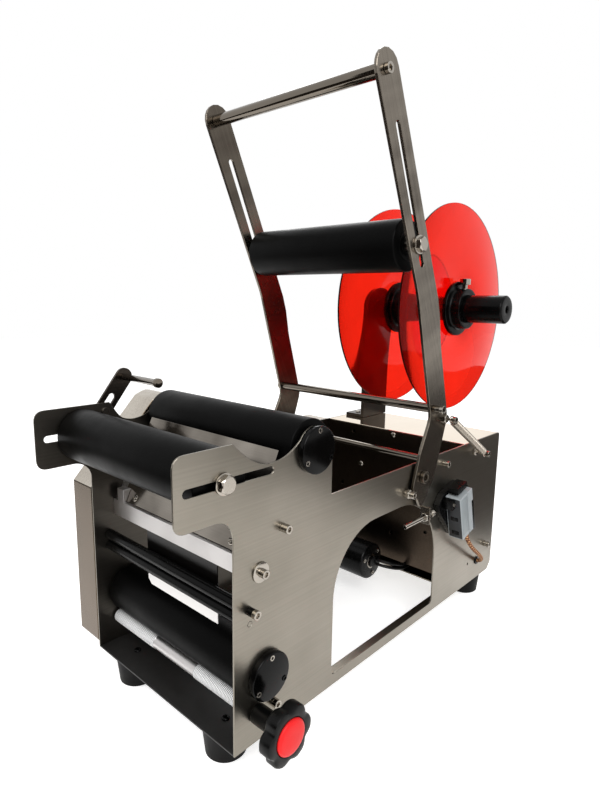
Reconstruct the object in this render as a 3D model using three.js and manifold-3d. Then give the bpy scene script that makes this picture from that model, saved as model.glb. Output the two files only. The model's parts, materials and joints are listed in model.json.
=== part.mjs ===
// Bottle labeling machine, in millimetres, +Z up. Every size below is measured from the outer face of the
// near side plate at its lower front corner: +X runs to the rear, +Y to the far plate. The finished group is
// shifted at the end so that its origin lies under the middle of the machine, on the table.
import * as THREE from 'three';
import { mergeVertices } from 'three/addons/utils/BufferGeometryUtils.js';
import Module from 'manifold-3d';

const wasm = await Module();
wasm.setup();

// Fits shared by all pieces
const seat = 0.3;
const overrun = 20;
const weld = 0.0001;
const cornerStep = Math.PI / 8;

// Side plates
const plate = 2;
const innerWidth = 256;
const plateLength = 561;
const plateHeight = 232;
const plateCorner = 6;
const rearChamfer = 11;
const boxDepth = 117;
const boxFront = plateLength - boxDepth;
const stepX = 137.8;
const stepTop = 272.8;
const bossX = 108.4;
const bossZ = 287.1;
const bossR = 24.6;
const valleyRise = 26;
const nearEarEnd = 0;
const nearValleyShares = [[0.9, 0.32], [0.77, 0.1], [0.62, 0], [0.43, 0.01], [0.21, 0.38]];
const farEarEnd = 27;
const farValleyShares = [[0.8, 0.2], [0.54, 0.058], [0.328, 0.135], [0.193, 0.354]];
const bossEndAngle = 146 * Math.PI / 180;
const earReach = 63.25;
const earTop = 311.3;
const earBottom = 243.7;
const earCorner = 12;
const earFillet = 21;
const earSlotX = -1.5;
const earSlotZ = 278;
const earSlotLength = 104.6;
const earSlotWidth = 8.1;
const windowFront = 145.5;
const windowRearInset = 74.4;
const windowRear = boxFront - windowRearInset;
const windowDrop = 51.4;
const windowTop = plateHeight - windowDrop;
const windowBottom = 13;
const windowFrontShare = 0.339;
const windowRearShare = 0.424;
const windowCorner = 6;
const flangeWidth = 21;
const wireHoleInset = 53.3;
const wireHoleX = plateLength - wireHoleInset;
const wireHoleZ = 30.3;
const wireHoleR = 5;
const spareHoleInset = 83;
const spareHoleX = plateLength - spareHoleInset;
const spareHoleZ = 34;
const spareHoleR = 2.2;

// Front bottom plate, feet and their bolts
const frontPlateDepth = 56;
const frontFootX = 27;
const frontFootInset = 45;
const rearFootSetback = 36;
const rearFootX = plateLength - rearFootSetback;
const rearFootInset = 28;
const footHeight = 33;
const footTopR = 25.5;
const footBottomR = 22;
const footBevel = 2;
const footBoreDepth = 16;
const footBoltR = 3;
const footBoltHeadR = 3.8;
const footBoltHead = 2.5;

// Control box
const boxPanelLow = 15;
const boxSheet = 2;
const inletWidth = 48;
const inletHeight = 27;
const inletDepth = 22;
const inletZ = 60;
const inletInset = 70;
const inletRim = 3;
const inletLip = 5;
const inletPinWidth = 2;
const inletPinPitch = 7;
const inletPinLength = 12;
const panelHoleR = 3;
const panelScrewShares = [[0.477, 0.97], [0.715, 0.711], [0.115, 0.884], [0.115, 0.172], [0.877, 0.172]];
const panelHoleShares = [[0.785, 0.94], [0.865, 0.53], [0.465, 0.259], [0.223, 0.34]];

// Small screws
const panelScrewR = 4;
const panelScrewHead = 2.6;
const capHeadR = 4.4;
const capHead = 7;
const capShankR = 2.4;
const longScrewStandOff = 9;
const guideScrewStandOff = 12.5;
const braceScrewX = 63.9;
const braceScrewDrop = 15.7;
const braceScrewZ = plateHeight - braceScrewDrop;
const rearScrewSetback = 28;
const rearScrewX = plateLength - rearScrewSetback;
const rearScrewZ = 51;

// Bearing caps and rollers on the front
const capR = 25;
const capDepth = 7;
const capScrewCircle = 20.6;
const farCapR = 20;
const farCapScrewCircle = 15.5;
const capScrewR = 2.9;
const capScrewHead = 0.8;
const journalR = 8;
const rollerEndGap = 3;
const driveRollerR = 31;
const tractionX = 42.9;
const tractionZ = 68.2;
const tractionR = 28.4;
const nip = 0.5;
const nipAngle = 246.8 * Math.PI / 180;
const pinchR = 8.5;
const pinchMiddle = 76;
const pinchMiddleR = 8;
const pinchJournalR = 5;
const guideRollerR = 6.3;
const guideJournalR = 2.6;
const upperGuideX = 18.9;
const upperGuideZ = 146.2;
const lowerGuideX = 20;
const lowerGuideZ = 132;

// Ear roller, which slides along the ear slots
const earRollerX = -10.3;
const earRollerR = 30;
const earShaftR = 7;
const earBoltR = 3.8;
const earWasherR = 10.25;
const earWasher = 1.6;
const earHexFlats = 16;
const earHexHeight = 6;
const earRollerEndGap = 3;

// Hand knob
const knobFaceY = 48;
const knobDepth = 15;
const knobR = 29.5;
const knobLobes = 6;
const knobDip = 4.2;
const knobEdge = 2.5;
const knobHubR = 10;
const knobCapR = 18;
const knobCapRise = 2.5;
const knobCapSeat = 1.5;
const knobStopX = 50.5;
const knobStopZ = 34;

// Peel bar, peel plate and label guide plate
const barScrewX = 33.4;
const barScrewZ = 180.4;
const barFront = 27;
const barLow = 170;
const barTop = 190;
const barDepth = 16;
const barRise = 23;
const peelLowX = 30.8;
const peelLowZ = 191;
const peelTopX = 75;
const peelTopZ = 288.5;
const peelSheet = 1.5;
const peelInset = 18;
const peelNose = 9;
const peelScrewInset = 42;
const peelScrewUp = 8;
const blockWidth = 14;
const blockHeight = 15;
const blockInset = 12;
const guideFront = 28;
const guideSheet = 1.5;
const guideLow = 104;
const guideFoot = 13;
const guideStart = 58;
const guideEnd = 186;
const guideTaper = 6;

// Press frame: two slotted arms, two rods and the press roller between them
const pivotSetback = 128.3;
const pivotX = boxFront - pivotSetback;
const pivotDrop = 19.1;
const pivotZ = plateHeight - pivotDrop;
const armSheet = 4;
const armStandOff = 2.5;
const armRise = 454.8;
const armReach = 112;
const armEndR = 20.5;
const armFrontShares = [
  [0.2869, 0.5086, 0.2], [0.1446, 0.385, 0.15], [-0.1143, 0.1662, 0.04],
  [0.0723, 0.0745, 0.1], [0.2089, -0.0277, 0.03], [-0.0063, -0.096, 0.01]];
const armRearShares = [
  [-0.26, -0.0163, 0.1], [-0.43, 0.1088, 0.03], [-0.5, 0.1575, 0.05], [-0.2438, 0.374, 0.15],
  [-0.1679, 0.4776, 0.2]];
const armLean = 24.2 * Math.PI / 180;
const armSlotTopShare = 0.8054;
const armSlotTopX = pivotX - armSlotTopShare * armReach;
const armSlotTopRise = 407.1;
const armSlotTopZ = pivotZ + armSlotTopRise;
const armSlotLowShare = 0.2518;
const armSlotLowX = pivotX - armSlotLowShare * armReach;
const armSlotLowRise = 267.1;
const armSlotLowZ = pivotZ + armSlotLowRise;
const armSlotWidth = 8.3;
const handleOffset = 3.2;
const handleX = pivotX - armReach - handleOffset;
const handleRise = 454.6;
const handleZ = pivotZ + handleRise;
const handleR = 7.5;
const lowerRodReach = 17.9;
const lowerRodX = pivotX + lowerRodReach;
const lowerRodRise = 87.6;
const lowerRodZ = pivotZ + lowerRodRise;
const lowerRodR = 6;
const rodScrewR = 5.5;
const rodScrewHead = 5;
const rodScrewShankR = 2.9;
const lowerRodScrewReach = 15;
const pivotScrewR = 8;
const pivotScrewHead = 5;
const pivotShoulderR = 5;
const pivotWasherR = 10;
const pivotShankR = 4;
const pivotNutR = 7;
const pivotNut = 6;
const tabOffset = 1.3;
const tabX = pivotX + tabOffset;
const tabSheet = 3;
const tabDrop = 62.9;
const tabLow = pivotZ - tabDrop;
const tabHeight = 23;
const tabReach = 12;
const adjustRise = 10;
const adjustZ = tabLow + adjustRise;
const adjustFrontReach = 49;
const adjustFront = tabX - adjustFrontReach;
const adjustRearReach = 19;
const adjustRear = tabX + adjustRearReach;
const adjustR = 2.9;
const adjustHeadR = 4.3;
const adjustHead = 5;
const adjustNutR = 5.2;
const adjustNut = 4;
const stopScrewAhead = 27.7;
const stopScrewX = pivotX - stopScrewAhead;
const stopScrewDrop = 17.4;
const stopScrewZ = pivotZ - stopScrewDrop;
const stopScrewReach = 13;

// Press roller on its shaft
const pressRollerRise = 288.3;
const pressRollerZ = pivotZ + pressRollerRise;
const pressRollerR = 31;
const pressShaftR = 8;
const pressBoltR = 4;
const pressWasherR = 11;
const pressWasher = 1.6;
const pressHexFlats = 16;
const pressHexHeight = 6;
const pressRollerEndGap = 8;
const bearingRecess = 1.5;
const bearingR = 17;
const bearingBossR = 11;

// Return spring between a screw on the near arm and a long screw in the near plate
const springArmReach = 48.3;
const springArmX = pivotX + springArmReach;
const springArmRise = 70.3;
const springArmZ = pivotZ + springArmRise;
const springPostSetback = 29.6;
const springPostX = boxFront + springPostSetback;
const springPostDrop = 15.5;
const springPostZ = plateHeight - springPostDrop;
const springY = -17;
const springWire = 1.5;
const springCoilR = 3.9;
const springPitch = 2.6;
const springLead = 7.5;
const springStudR = 2;
const springStudHeadR = 4.2;
const springStudHead = 3.5;
const springStudNutR = 5.4;
const springStudNut = 4;
const springLoopSteps = 6;
const springCurlSteps = 6;
const springSides = 4;

// Guide rod in the well
const guideRodInset = 62.3;
const guideRodX = boxFront - guideRodInset;
const guideRodDrop = 15.8;
const guideRodZ = plateHeight - guideRodDrop;
const guideRodR = 4.5;

// Label reel
const reelSetback = 36;
const reelX = plateLength - reelSetback;
const reelRise = 194;
const reelZ = plateHeight + reelRise;
const reelShaftR = 21;
const reelShaftNear = -12;
const reelBoreR = 5;
const reelBoreDepth = 14;
const discR = 160;
const discSheet = 3;
const nearDiscY = 72;
const farDiscInset = 80.5;
const hubR = 42;
const hubDepth = 22;
const hubFlange = 6;
const hubNeckR = 31;
const thumbScrewR = 4;
const thumbHeadR = 8;
const thumbHead = 9;
const thumbReach = 6;
const postInset = 41;
const postSheet = 6;
const postWidth = 70;
const postFoot = 32;
const postFootSheet = 5;
const postJournalR = 10;
const postNutR = 16;
const postNut = 6;
const postScrewInset = 14;

// Bottle stop on the far ear
const stopClampX = 21.2;
const stopClampZ = 301;
const stopArmSheet = 3;
const stopArmGap = 3;
const stopArmWidth = 22;
const stopArmLength = 48.7;
const stopArmAngle = 52.3 * Math.PI / 180;
const stopSlotLength = 19.5;
const stopSlotWidth = 8.5;
const stopRodR = 4;
const stopRodReach = 65;
const stopHeadR = 5.5;
const stopHead = 5;
const stopClampHeadR = 7;
const stopClampHead = 4;
const stopInnerHead = 2.2;
const stopClampShankR = 3.9;

// Side cover over the belts on the far plate
const coverSheet = 1.5;
const coverDepth = 45;
const coverFront = -0.6;
const coverLow = 6;
const coverKneeZ = 210;
const coverSlantX = 90;
const coverSlantZ = 308;
const coverRidgeX = 109;
const coverRidgeZ = 315.5;
const coverBackX = 139;
const coverBackZ = 296;
const coverOverBox = 1;
const coverRear = boxFront + coverOverBox;
const armNotchAhead = 41.7;
const armNotchFront = pivotX - armNotchAhead;
const armNotchBehind = 46.3;
const armNotchRear = pivotX + armNotchBehind;
const armNotchDepth = 10;

// Gear motor and belts
const motorInset = 54.5;
const motorX = boxFront - motorInset;
const motorZ = 28.5;
const motorR = 28.5;
const motorLength = 138;
const motorCanLength = 74;
const gearboxR = 26;
const motorBossR = 8;
const motorBoss = 4;
const motorSpigotR = 10;
const motorShaftR = 5;
const pulleyTeeth = 16;
const rollerPulleyTeeth = 24;
const tractionPulleyTeeth = 22;
const toothPitch = 5.08;
const toothDepth = 1.4;
const pulleyWidth = 9;
const pulleyGap = 2;
const beltStandOff = 15.5;
const beltWidth = 8;
const beltThickness = 1.4;
const beltClearance = 0.4;

// Limit switch on the near plate
const switchInset = 45.5;
const switchX = boxFront - switchInset;
const switchDrop = 85.5;
const switchZ = plateHeight - switchDrop;
const switchTilt = -15 * Math.PI / 180;
const switchWidth = 35;
const switchHeight = 65;
const switchBack = 10.3;
const switchFace = 32;
const switchRib = 1.2;
const switchCapHeight = 8;
const switchCapWidth = 27;
const switchTravel = 3;
const switchStemHalf = 3;
const switchStemDepth = 9;
const bracketThickness = 9;
const bracketWrap = 4;
const bracketReach = 17;
const bracketTaperShare = 0.45;
const bracketCutWidth = 14.5;
const bracketCutHeight = 10.5;

// Leads, as routes chosen by hand: shares of the way from one end to the other along X, Y and Z
const switchLeadR = 3;
const switchLeadStartX = 18.7;
const switchLeadStartDrop = 32.1;
const switchLeadOut = 22;
const switchLeadShares = [
  [0, 0.955, 0], [0.042, 0.959, 0.1], [0.0972, 0.977, 0.2069], [0.1856, 1, 0.3258], [0.3072, 1, 0.4447],
  [0.4508, 0.955, 0.5517], [0.5945, 0.886, 0.6528], [0.7271, 0.795, 0.7539], [0.8376, 0.682, 0.843],
  [0.9149, 0.523, 0.9144], [0.9702, 0.318, 0.9679], [0.9978, 0.091, 0.9964], [1, -0.182, 1], [1, -0.545, 1]];
const motorLeadR = 2.5;
const motorLeadStart = [14.5, -0.4, -9.5];
const motorLeadEnd = [12, -28, 7.4];
const motorLeadShares = [
  [0, 0, 0], [0.0192, 0.2391, 0.0345], [0.0865, 0.4928, 0.1379], [0.2019, 0.692, 0.3103],
  [0.3462, 0.8188, 0.5517], [0.5, 0.8913, 0.7759], [0.6538, 0.9457, 0.9138], [0.8077, 0.9819, 0.9828], [1, 1, 1]];

// Finishes
function finish(color, roughness, metalness, opacity) {
  const clear = opacity < 1;
  return new THREE.MeshStandardMaterial({ color, roughness, metalness, opacity, transparent: clear });
}
const brushedSteel = finish('#8f8a83', 0.38, 1, 1);
const paleSteel = finish('#c9c6bf', 0.3, 1, 1);
const aluminium = finish('#cfcdc8', 0.35, 1, 1);
const zincSteel = finish('#b9b4aa', 0.28, 1, 1);
const blackRubber = finish('#191918', 0.7, 0, 1);
const blackOxide = finish('#151515', 0.42, 0.4, 1);
const blackPlastic = finish('#121212', 0.5, 0, 1);
const redPlastic = finish('#ed2224', 0.4, 0, 1);
const redAcrylic = finish('#e02a1c', 0.15, 0, 0.6);
const greyPlastic = finish('#9fa3a3', 0.45, 0, 1);
const tanSleeve = finish('#b26a3c', 0.75, 0, 1);

const machine = new THREE.Group();
const nearFace = 0;
const nearInner = plate;
const farInner = plate + innerWidth;
const farFace = farInner + plate;
const farDiscY = farFace - farDiscInset;
const postNearY = farFace - postInset;
const motorNearY = farInner - motorLength;
const middleY = farFace / 2;

function addPiece(name, geometry, material, parent = machine) {
  const mesh = new THREE.Mesh(closedShell(geometry), material);
  mesh.name = name;
  parent.add(mesh);
  return mesh;
}

// Shell with shared corners and no empty triangles, its faces outwards
function closedShell(geometry) {
  const bare = geometry.clone();
  bare.deleteAttribute('normal');
  bare.deleteAttribute('uv');
  const welded = mergeVertices(bare, weld);
  const spots = welded.getAttribute('position');
  const corners = welded.index.array;
  const kept = [];
  let volume = 0;
  const [p, q, r] = [new THREE.Vector3(), new THREE.Vector3(), new THREE.Vector3()];
  for (let i = 0; i < corners.length; i += 3) {
    const [a, b, c] = [corners[i], corners[i + 1], corners[i + 2]];
    if (a !== b && b !== c && c !== a) {
      kept.push(a, b, c);
      volume += p.fromBufferAttribute(spots, a)
        .dot(q.fromBufferAttribute(spots, b).cross(r.fromBufferAttribute(spots, c)));
    }
  }
  const shell = new THREE.BufferGeometry();
  shell.setAttribute('position', spots);
  shell.setIndex(volume < 0 ? kept.reverse() : kept);
  return shell;
}

function solidOf(geometry) {
  const shell = closedShell(geometry);
  const vertProperties = new Float32Array(shell.getAttribute('position').array);
  return new wasm.Manifold(new wasm.Mesh({
    numProp: 3, vertProperties, triVerts: new Uint32Array(shell.index.array) }));
}

function geometryOf(solid) {
  const mesh = solid.getMesh();
  const geometry = new THREE.BufferGeometry();
  geometry.setAttribute('position', new THREE.BufferAttribute(new Float32Array(mesh.vertProperties), 3));
  geometry.setIndex(new THREE.BufferAttribute(new Uint32Array(mesh.triVerts), 1));
  return geometry;
}

function cut(base, ...tools) {
  return geometryOf(tools.reduce((solid, tool) => solid.subtract(solidOf(tool)), solidOf(base)));
}

function join(base, ...others) {
  return geometryOf(others.reduce((solid, other) => solid.add(solidOf(other)), solidOf(base)));
}

function box(x0, x1, y0, y1, z0, z1) {
  const geometry = new THREE.BoxGeometry(x1 - x0, y1 - y0, z1 - z0);
  return geometry.translate((x0 + x1) / 2, (y0 + y1) / 2, (z0 + z1) / 2);
}

// A shape drawn in X and Z, given its thickness from y0 to y1
function sheetXZ(shape, y0, y1, curveSegments = 6) {
  const geometry = new THREE.ExtrudeGeometry(shape, { depth: y1 - y0, bevelEnabled: false, curveSegments });
  return geometry.rotateX(Math.PI / 2).translate(0, y1, 0);
}

// A shape drawn in Y and Z, given its thickness from x0 to x1
function sheetYZ(shape, x0, x1, curveSegments = 6) {
  const geometry = new THREE.ExtrudeGeometry(shape, { depth: x1 - x0, bevelEnabled: false, curveSegments });
  return geometry.rotateX(Math.PI / 2).rotateZ(Math.PI / 2).translate(x0, 0, 0);
}

// A revolved profile of [radius, y] pairs on an axis along Y
function turned(profile, x, z, segments = 20) {
  const points = profile.map(([radius, y]) => new THREE.Vector2(radius, y));
  return new THREE.LatheGeometry(points, segments).translate(x, 0, z);
}

function rod(radius, y0, y1, x, z, segments = 14) {
  return turned([[0, y0], [radius, y0], [radius, y1], [0, y1]], x, z, segments);
}

function tube(outer, inner, y0, y1, x, z, segments = 18) {
  return turned([[inner, y0], [outer, y0], [outer, y1], [inner, y1], [inner, y0]], x, z, segments);
}

// A straight-sided outline whose corners are rounded, each point being [x, z, radius]
function roundedShape(points) {
  const shape = new THREE.Shape();
  const count = points.length;
  points.forEach(([x, z, radius = 0], i) => {
    const here = new THREE.Vector2(x, z);
    const before = new THREE.Vector2(...points[(i + count - 1) % count].slice(0, 2)).sub(here);
    const after = new THREE.Vector2(...points[(i + 1) % count].slice(0, 2)).sub(here);
    const half = before.angleTo(after) / 2;
    const reach = Math.min(radius / Math.tan(half), before.length() / 2, after.length() / 2);
    const start = here.clone().addScaledVector(before.normalize(), reach);
    const end = here.clone().addScaledVector(after.normalize(), reach);
    if (radius > 0) {
      const centre = before.clone().add(after).normalize().multiplyScalar(reach / Math.cos(half)).add(here);
      const steps = Math.ceil((Math.PI - 2 * half) / cornerStep);
      for (let k = 0; k <= steps; k++) {
        const spot = start.clone().rotateAround(centre, Math.sign(after.cross(before)) * (Math.PI - 2 * half) * k / steps);
        shape[i + k ? 'lineTo' : 'moveTo'](spot.x, spot.y);
      }
    } else if (i === 0) {
      shape.moveTo(x, z);
    } else {
      shape.lineTo(x, z);
    }
  });
  shape.closePath();
  return shape;
}

// A slot or stadium between two end centres
function slotShape(x0, z0, x1, z1, width, Kind = THREE.Shape) {
  const angle = Math.atan2(z1 - z0, x1 - x0);
  const shape = new Kind();
  shape.absarc(x1, z1, width / 2, angle - Math.PI / 2, angle + Math.PI / 2, false);
  shape.absarc(x0, z0, width / 2, angle + Math.PI / 2, angle + 3 * Math.PI / 2, false);
  shape.closePath();
  return shape;
}

function slotPath(x0, z0, x1, z1, width) {
  return slotShape(x0, z0, x1, z1, width, THREE.Path);
}

function roundHole(x, z, radius) {
  const hole = new THREE.Path();
  hole.absarc(x, z, radius, 0, 2 * Math.PI, false);
  return hole;
}

function circleSpots(x, z, radius, count, startDegrees) {
  return Array.from({ length: count }, (_, i) => {
    const angle = (startDegrees + i * 360 / count) * Math.PI / 180;
    return [x + radius * Math.cos(angle), z + radius * Math.sin(angle)];
  });
}

function mirroredInY(geometry) {
  return closedShell(geometry.clone().scale(1, -1, 1).translate(0, farFace, 0));
}

// Socket-head screw whose head sits on the plane y and points to -Y
function capScrew(x, z, y, headR, head, shankR, grip) {
  return turned([
    [0, y + grip], [shankR, y + grip], [shankR, y], [headR, y], [headR, y - head], [0, y - head]], x, z, 12);
}

// Hexagon bolt with a washer under its head, pointing to -Y
function hexBolt(x, z, y, flats, head, shankR, grip, washerR, washer) {
  const stem = turned([
    [0, y + grip], [shankR, y + grip], [shankR, y], [washerR, y], [washerR, y - washer], [0, y - washer]],
  x, z, 16);
  const hex = new THREE.CylinderGeometry(flats / Math.sqrt(3), flats / Math.sqrt(3), head + washer / 2, 6);
  hex.translate(x, y - washer / 2 - (head + washer / 2) / 2, z);
  return join(stem, hex);
}

// Long screw with a nut at its root, standing out from the surface y towards -Y
function springStud(x, z, y) {
  const tip = springY - springWire - springStudHead / 2;
  return turned([
    [0, y + plate], [springStudR, y + plate], [springStudR, y - weld], [springStudNutR, y - weld],
    [springStudNutR, y - springStudNut], [springStudR, y - springStudNut], [springStudR, tip],
    [springStudHeadR, tip], [springStudHeadR, tip - springStudHead], [0, tip - springStudHead]], x, z, 12);
}

// Tube of straight steps through a list of points, closed at both ends
function wireAlong(points, radius, sides) {
  const positions = [];
  const index = [];
  let normal = new THREE.Vector3(0, 1, 0);
  points.forEach((point, i) => {
    const ahead = points[Math.min(i + 1, points.length - 1)];
    const behind = points[Math.max(i - 1, 0)];
    const tangent = ahead.clone().sub(behind).normalize();
    normal = normal.clone().addScaledVector(tangent, -normal.dot(tangent)).normalize();
    const side = new THREE.Vector3().crossVectors(tangent, normal);
    for (let k = 0; k < sides; k++) {
      const angle = 2 * Math.PI * k / sides;
      const spot = point.clone().addScaledVector(normal, radius * Math.cos(angle))
        .addScaledVector(side, radius * Math.sin(angle));
      positions.push(spot.x, spot.y, spot.z);
      if (i > 0) {
        const [a, b] = [(i - 1) * sides + k, (i - 1) * sides + (k + 1) % sides];
        index.push(a, b, b + sides, a, b + sides, a + sides);
      }
    }
  });
  const last = (points.length - 1) * sides;
  for (let k = 1; k < sides - 1; k++) {
    index.push(0, k + 1, k, last, last + k, last + k + 1);
  }
  const geometry = new THREE.BufferGeometry();
  geometry.setAttribute('position', new THREE.Float32BufferAttribute(positions, 3));
  geometry.setIndex(index);
  return closedShell(geometry);
}

function lead(from, to, shares, radius, steps) {
  const path = new THREE.CatmullRomCurve3(shares.map((share) => (
    new THREE.Vector3(...from.map((start, axis) => start + share[axis] * (to[axis] - start))))));
  const section = new THREE.Shape();
  section.absarc(0, 0, radius, 0, 2 * Math.PI, false);
  return new THREE.ExtrudeGeometry(section, { steps, curveSegments: 4, extrudePath: path });
}

// Places worked out from the sizes above
const pressRollerX = armSlotLowX
  + (pressRollerZ - armSlotLowZ) * (armSlotTopX - armSlotLowX) / (armSlotTopZ - armSlotLowZ);
const pinchX = tractionX + (tractionR + pinchR + nip) * Math.cos(nipAngle);
const pinchZ = tractionZ + (tractionR + pinchR + nip) * Math.sin(nipAngle);
const armNearOuter = -armStandOff - armSheet;
const armFarInner = farFace + armStandOff;
const capSpots = [[bossX, bossZ], [tractionX, tractionZ]];
const rollerStart = nearInner + rollerEndGap;
const rollerEnd = farInner - rollerEndGap;

const plateScrewSpots = [[braceScrewX, braceScrewZ], [rearScrewX, rearScrewZ], [guideRodX, guideRodZ]];
const barScrewSpot = [barScrewX, barScrewZ];
const guideSpots = [[upperGuideX, upperGuideZ], [lowerGuideX, lowerGuideZ]];

// Socket-head screw set in a side plate, its head reaching out from the near face
function plateScrew([x, z], reach = longScrewStandOff) {
  return turned([
    [0, nearInner], [capShankR, nearInner], [capShankR, -weld], [capHeadR, -weld], [capHeadR, -reach],
    [0, -reach]], x, z, 10);
}

function barWasherScrew() {
  const top = -earWasher - capHead;
  return turned([
    [0, nearInner], [capShankR, nearInner], [capShankR, -weld], [earWasherR, -weld], [earWasherR, -earWasher],
    [capHeadR, -earWasher], [capHeadR, top], [0, top]], ...barScrewSpot, 14);
}

function stopClampScrew() {
  const outer = farFace + stopArmGap + stopArmSheet + seat;
  return turned([
    [0, farInner - stopInnerHead], [capHeadR, farInner - stopInnerHead], [capHeadR, farInner + weld],
    [capShankR, farInner + weld], [capShankR, farFace - weld], [stopClampHeadR, farFace - weld],
    [stopClampHeadR, farFace + stopArmGap - seat], [stopClampShankR, farFace + stopArmGap - seat],
    [stopClampShankR, outer], [stopClampHeadR, outer], [stopClampHeadR, outer + stopClampHead],
    [0, outer + stopClampHead]], stopClampX, stopClampZ, 16);
}

const plateScrews = [...plateScrewSpots.map((spot) => plateScrew(spot)), barWasherScrew()];

function sidePlateOutline(earEnd, valleyShares) {
  const shape = new THREE.Shape();
  shape.moveTo(0, 0);
  shape.lineTo(plateLength - rearChamfer, 0);
  shape.lineTo(plateLength, rearChamfer);
  shape.lineTo(plateLength, plateHeight - plateCorner);
  shape.quadraticCurveTo(plateLength, plateHeight, plateLength - plateCorner, plateHeight);
  shape.lineTo(stepX, plateHeight);
  shape.lineTo(stepX, stepTop);
  const away = Math.hypot(stepX - bossX, stepTop - bossZ);
  const tangentAngle = Math.atan2(stepTop - bossZ, stepX - bossX) + Math.acos(bossR / away);
  shape.absarc(bossX, bossZ, bossR, tangentAngle, bossEndAngle, false);
  const low = earTop - valleyRise;
  const valleySpan = bossX + bossR * Math.cos(bossEndAngle) - earEnd;
  shape.splineThru([
    ...valleyShares.map(([along, up]) => new THREE.Vector2(earEnd + along * valleySpan, low + up * valleyRise)),
    new THREE.Vector2(earEnd, earTop)]);
  shape.lineTo(earCorner - earReach, earTop);
  shape.quadraticCurveTo(-earReach, earTop, -earReach, earTop - earCorner);
  shape.lineTo(-earReach, earBottom + earCorner);
  shape.quadraticCurveTo(-earReach, earBottom, earCorner - earReach, earBottom);
  shape.lineTo(-earFillet, earBottom);
  shape.absarc(-earFillet, earBottom - earFillet, earFillet, Math.PI / 2, 0, true);
  shape.lineTo(0, 0);
  const slotReach = (earSlotLength - earSlotWidth) / 2;
  shape.holes.push(slotPath(earSlotX - slotReach, earSlotZ, earSlotX + slotReach, earSlotZ, earSlotWidth));
  return shape;
}

function addPlateHoles(shape) {
  for (const [x, z] of capSpots) {
    shape.holes.push(roundHole(x, z, journalR + seat));
  }
  for (const [x, z] of guideSpots) {
    shape.holes.push(roundHole(x, z, guideJournalR + seat));
  }
  shape.holes.push(roundHole(pinchX, pinchZ, pinchJournalR + seat));
  shape.holes.push(roundHole(pivotX, pivotZ, pivotShankR + seat));
}

function windowPath() {
  const path = new THREE.Path();
  const windowFrontR = windowFrontShare * (windowRear - windowFront);
  const windowRearR = windowRearShare * (windowRear - windowFront);
  path.moveTo(windowFront, windowBottom + windowCorner);
  path.lineTo(windowFront, windowTop - windowFrontR);
  path.absarc(windowFront + windowFrontR, windowTop - windowFrontR, windowFrontR, Math.PI, Math.PI / 2, true);
  path.absarc(windowRear - windowRearR, windowTop - windowRearR, windowRearR, Math.PI / 2, 0, true);
  path.lineTo(windowRear, windowBottom + windowCorner);
  path.quadraticCurveTo(windowRear, windowBottom, windowRear - windowCorner, windowBottom);
  path.lineTo(windowFront + windowCorner, windowBottom);
  path.quadraticCurveTo(windowFront, windowBottom, windowFront, windowBottom + windowCorner);
  return path;
}

function nearSidePlate() {
  const shape = sidePlateOutline(nearEarEnd, nearValleyShares);
  addPlateHoles(shape);
  shape.holes.push(windowPath());
  shape.holes.push(roundHole(springPostX, springPostZ, springStudR + seat));
  shape.holes.push(roundHole(wireHoleX, wireHoleZ, wireHoleR));
  shape.holes.push(roundHole(spareHoleX, spareHoleZ, spareHoleR));
  const flange = box(frontPlateDepth + seat, boxFront - seat, nearFace, flangeWidth, 0, plate);
  return join(sheetXZ(shape, nearFace, nearInner), flange, ...plateScrews,
    plateScrew([stopScrewX, stopScrewZ], stopScrewReach), plateScrew([knobStopX, knobStopZ]));
}

function farSidePlate() {
  const shape = sidePlateOutline(farEarEnd, farValleyShares);
  addPlateHoles(shape);
  shape.holes.push(roundHole(motorX, motorZ, motorSpigotR));
  const flange = box(frontPlateDepth + seat, boxFront - seat, farFace - flangeWidth, farFace, 0, plate);
  return join(sheetXZ(shape, farInner, farFace), flange, stopClampScrew(), ...plateScrews.map(mirroredInY));
}

addPiece('near_side_plate', nearSidePlate(), brushedSteel);
addPiece('far_side_plate', farSidePlate(), brushedSteel);

// Front bottom plate and control box, between the side plates
const betweenNear = nearInner + seat;
const betweenFar = farInner - seat;

// Bottom sheet with the two foot bolts that hang from it
function boltedBottom(x0, x1, footX, inset) {
  const bolts = [inset, farFace - inset].map((y) => footBolt().translate(footX, y, 0));
  return join(box(x0, x1, betweenNear, betweenFar, 0, plate), ...bolts);
}

function footBolt() {
  return turned([
    [0, seat - footBoreDepth], [footBoltR, seat - footBoreDepth], [footBoltR, plate - weld],
    [footBoltHeadR, plate - weld], [footBoltHeadR, plate + footBoltHead * 0.6],
    [footBoltHeadR * 0.6, plate + footBoltHead], [0, plate + footBoltHead]], 0, 0, 12).rotateX(Math.PI / 2);
}

function controlBoxShell() {
  const bent = sheetXZ(roundedShape([
    [plateLength, rearChamfer], [plateLength, plateHeight, plateCorner], [boxFront, plateHeight],
    [boxFront, plateHeight - boxSheet], [plateLength - boxSheet, plateHeight - boxSheet, plateCorner - boxSheet],
    [plateLength - boxSheet, rearChamfer]]), betweenNear, betweenFar);
  const bottom = boltedBottom(boxFront, plateLength - rearChamfer, rearFootX, rearFootInset);
  const slope = sheetXZ(roundedShape([
    [plateLength - rearChamfer - boxSheet / 2, 0], [plateLength, rearChamfer + boxSheet / 2],
    [plateLength - boxSheet, rearChamfer + boxSheet / 2], [plateLength - rearChamfer - boxSheet / 2, boxSheet]]),
  betweenNear, betweenFar);
  const inletMid = farFace - inletInset;
  const inletHole = box(plateLength - overrun, plateLength + overrun, inletMid - inletWidth / 2 + inletLip - seat,
    inletMid + inletWidth / 2 - inletLip + seat, inletZ - inletHeight / 2 - seat, inletZ + inletHeight / 2 + seat);
  return cut(join(bent, bottom, slope), inletHole);
}

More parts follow.
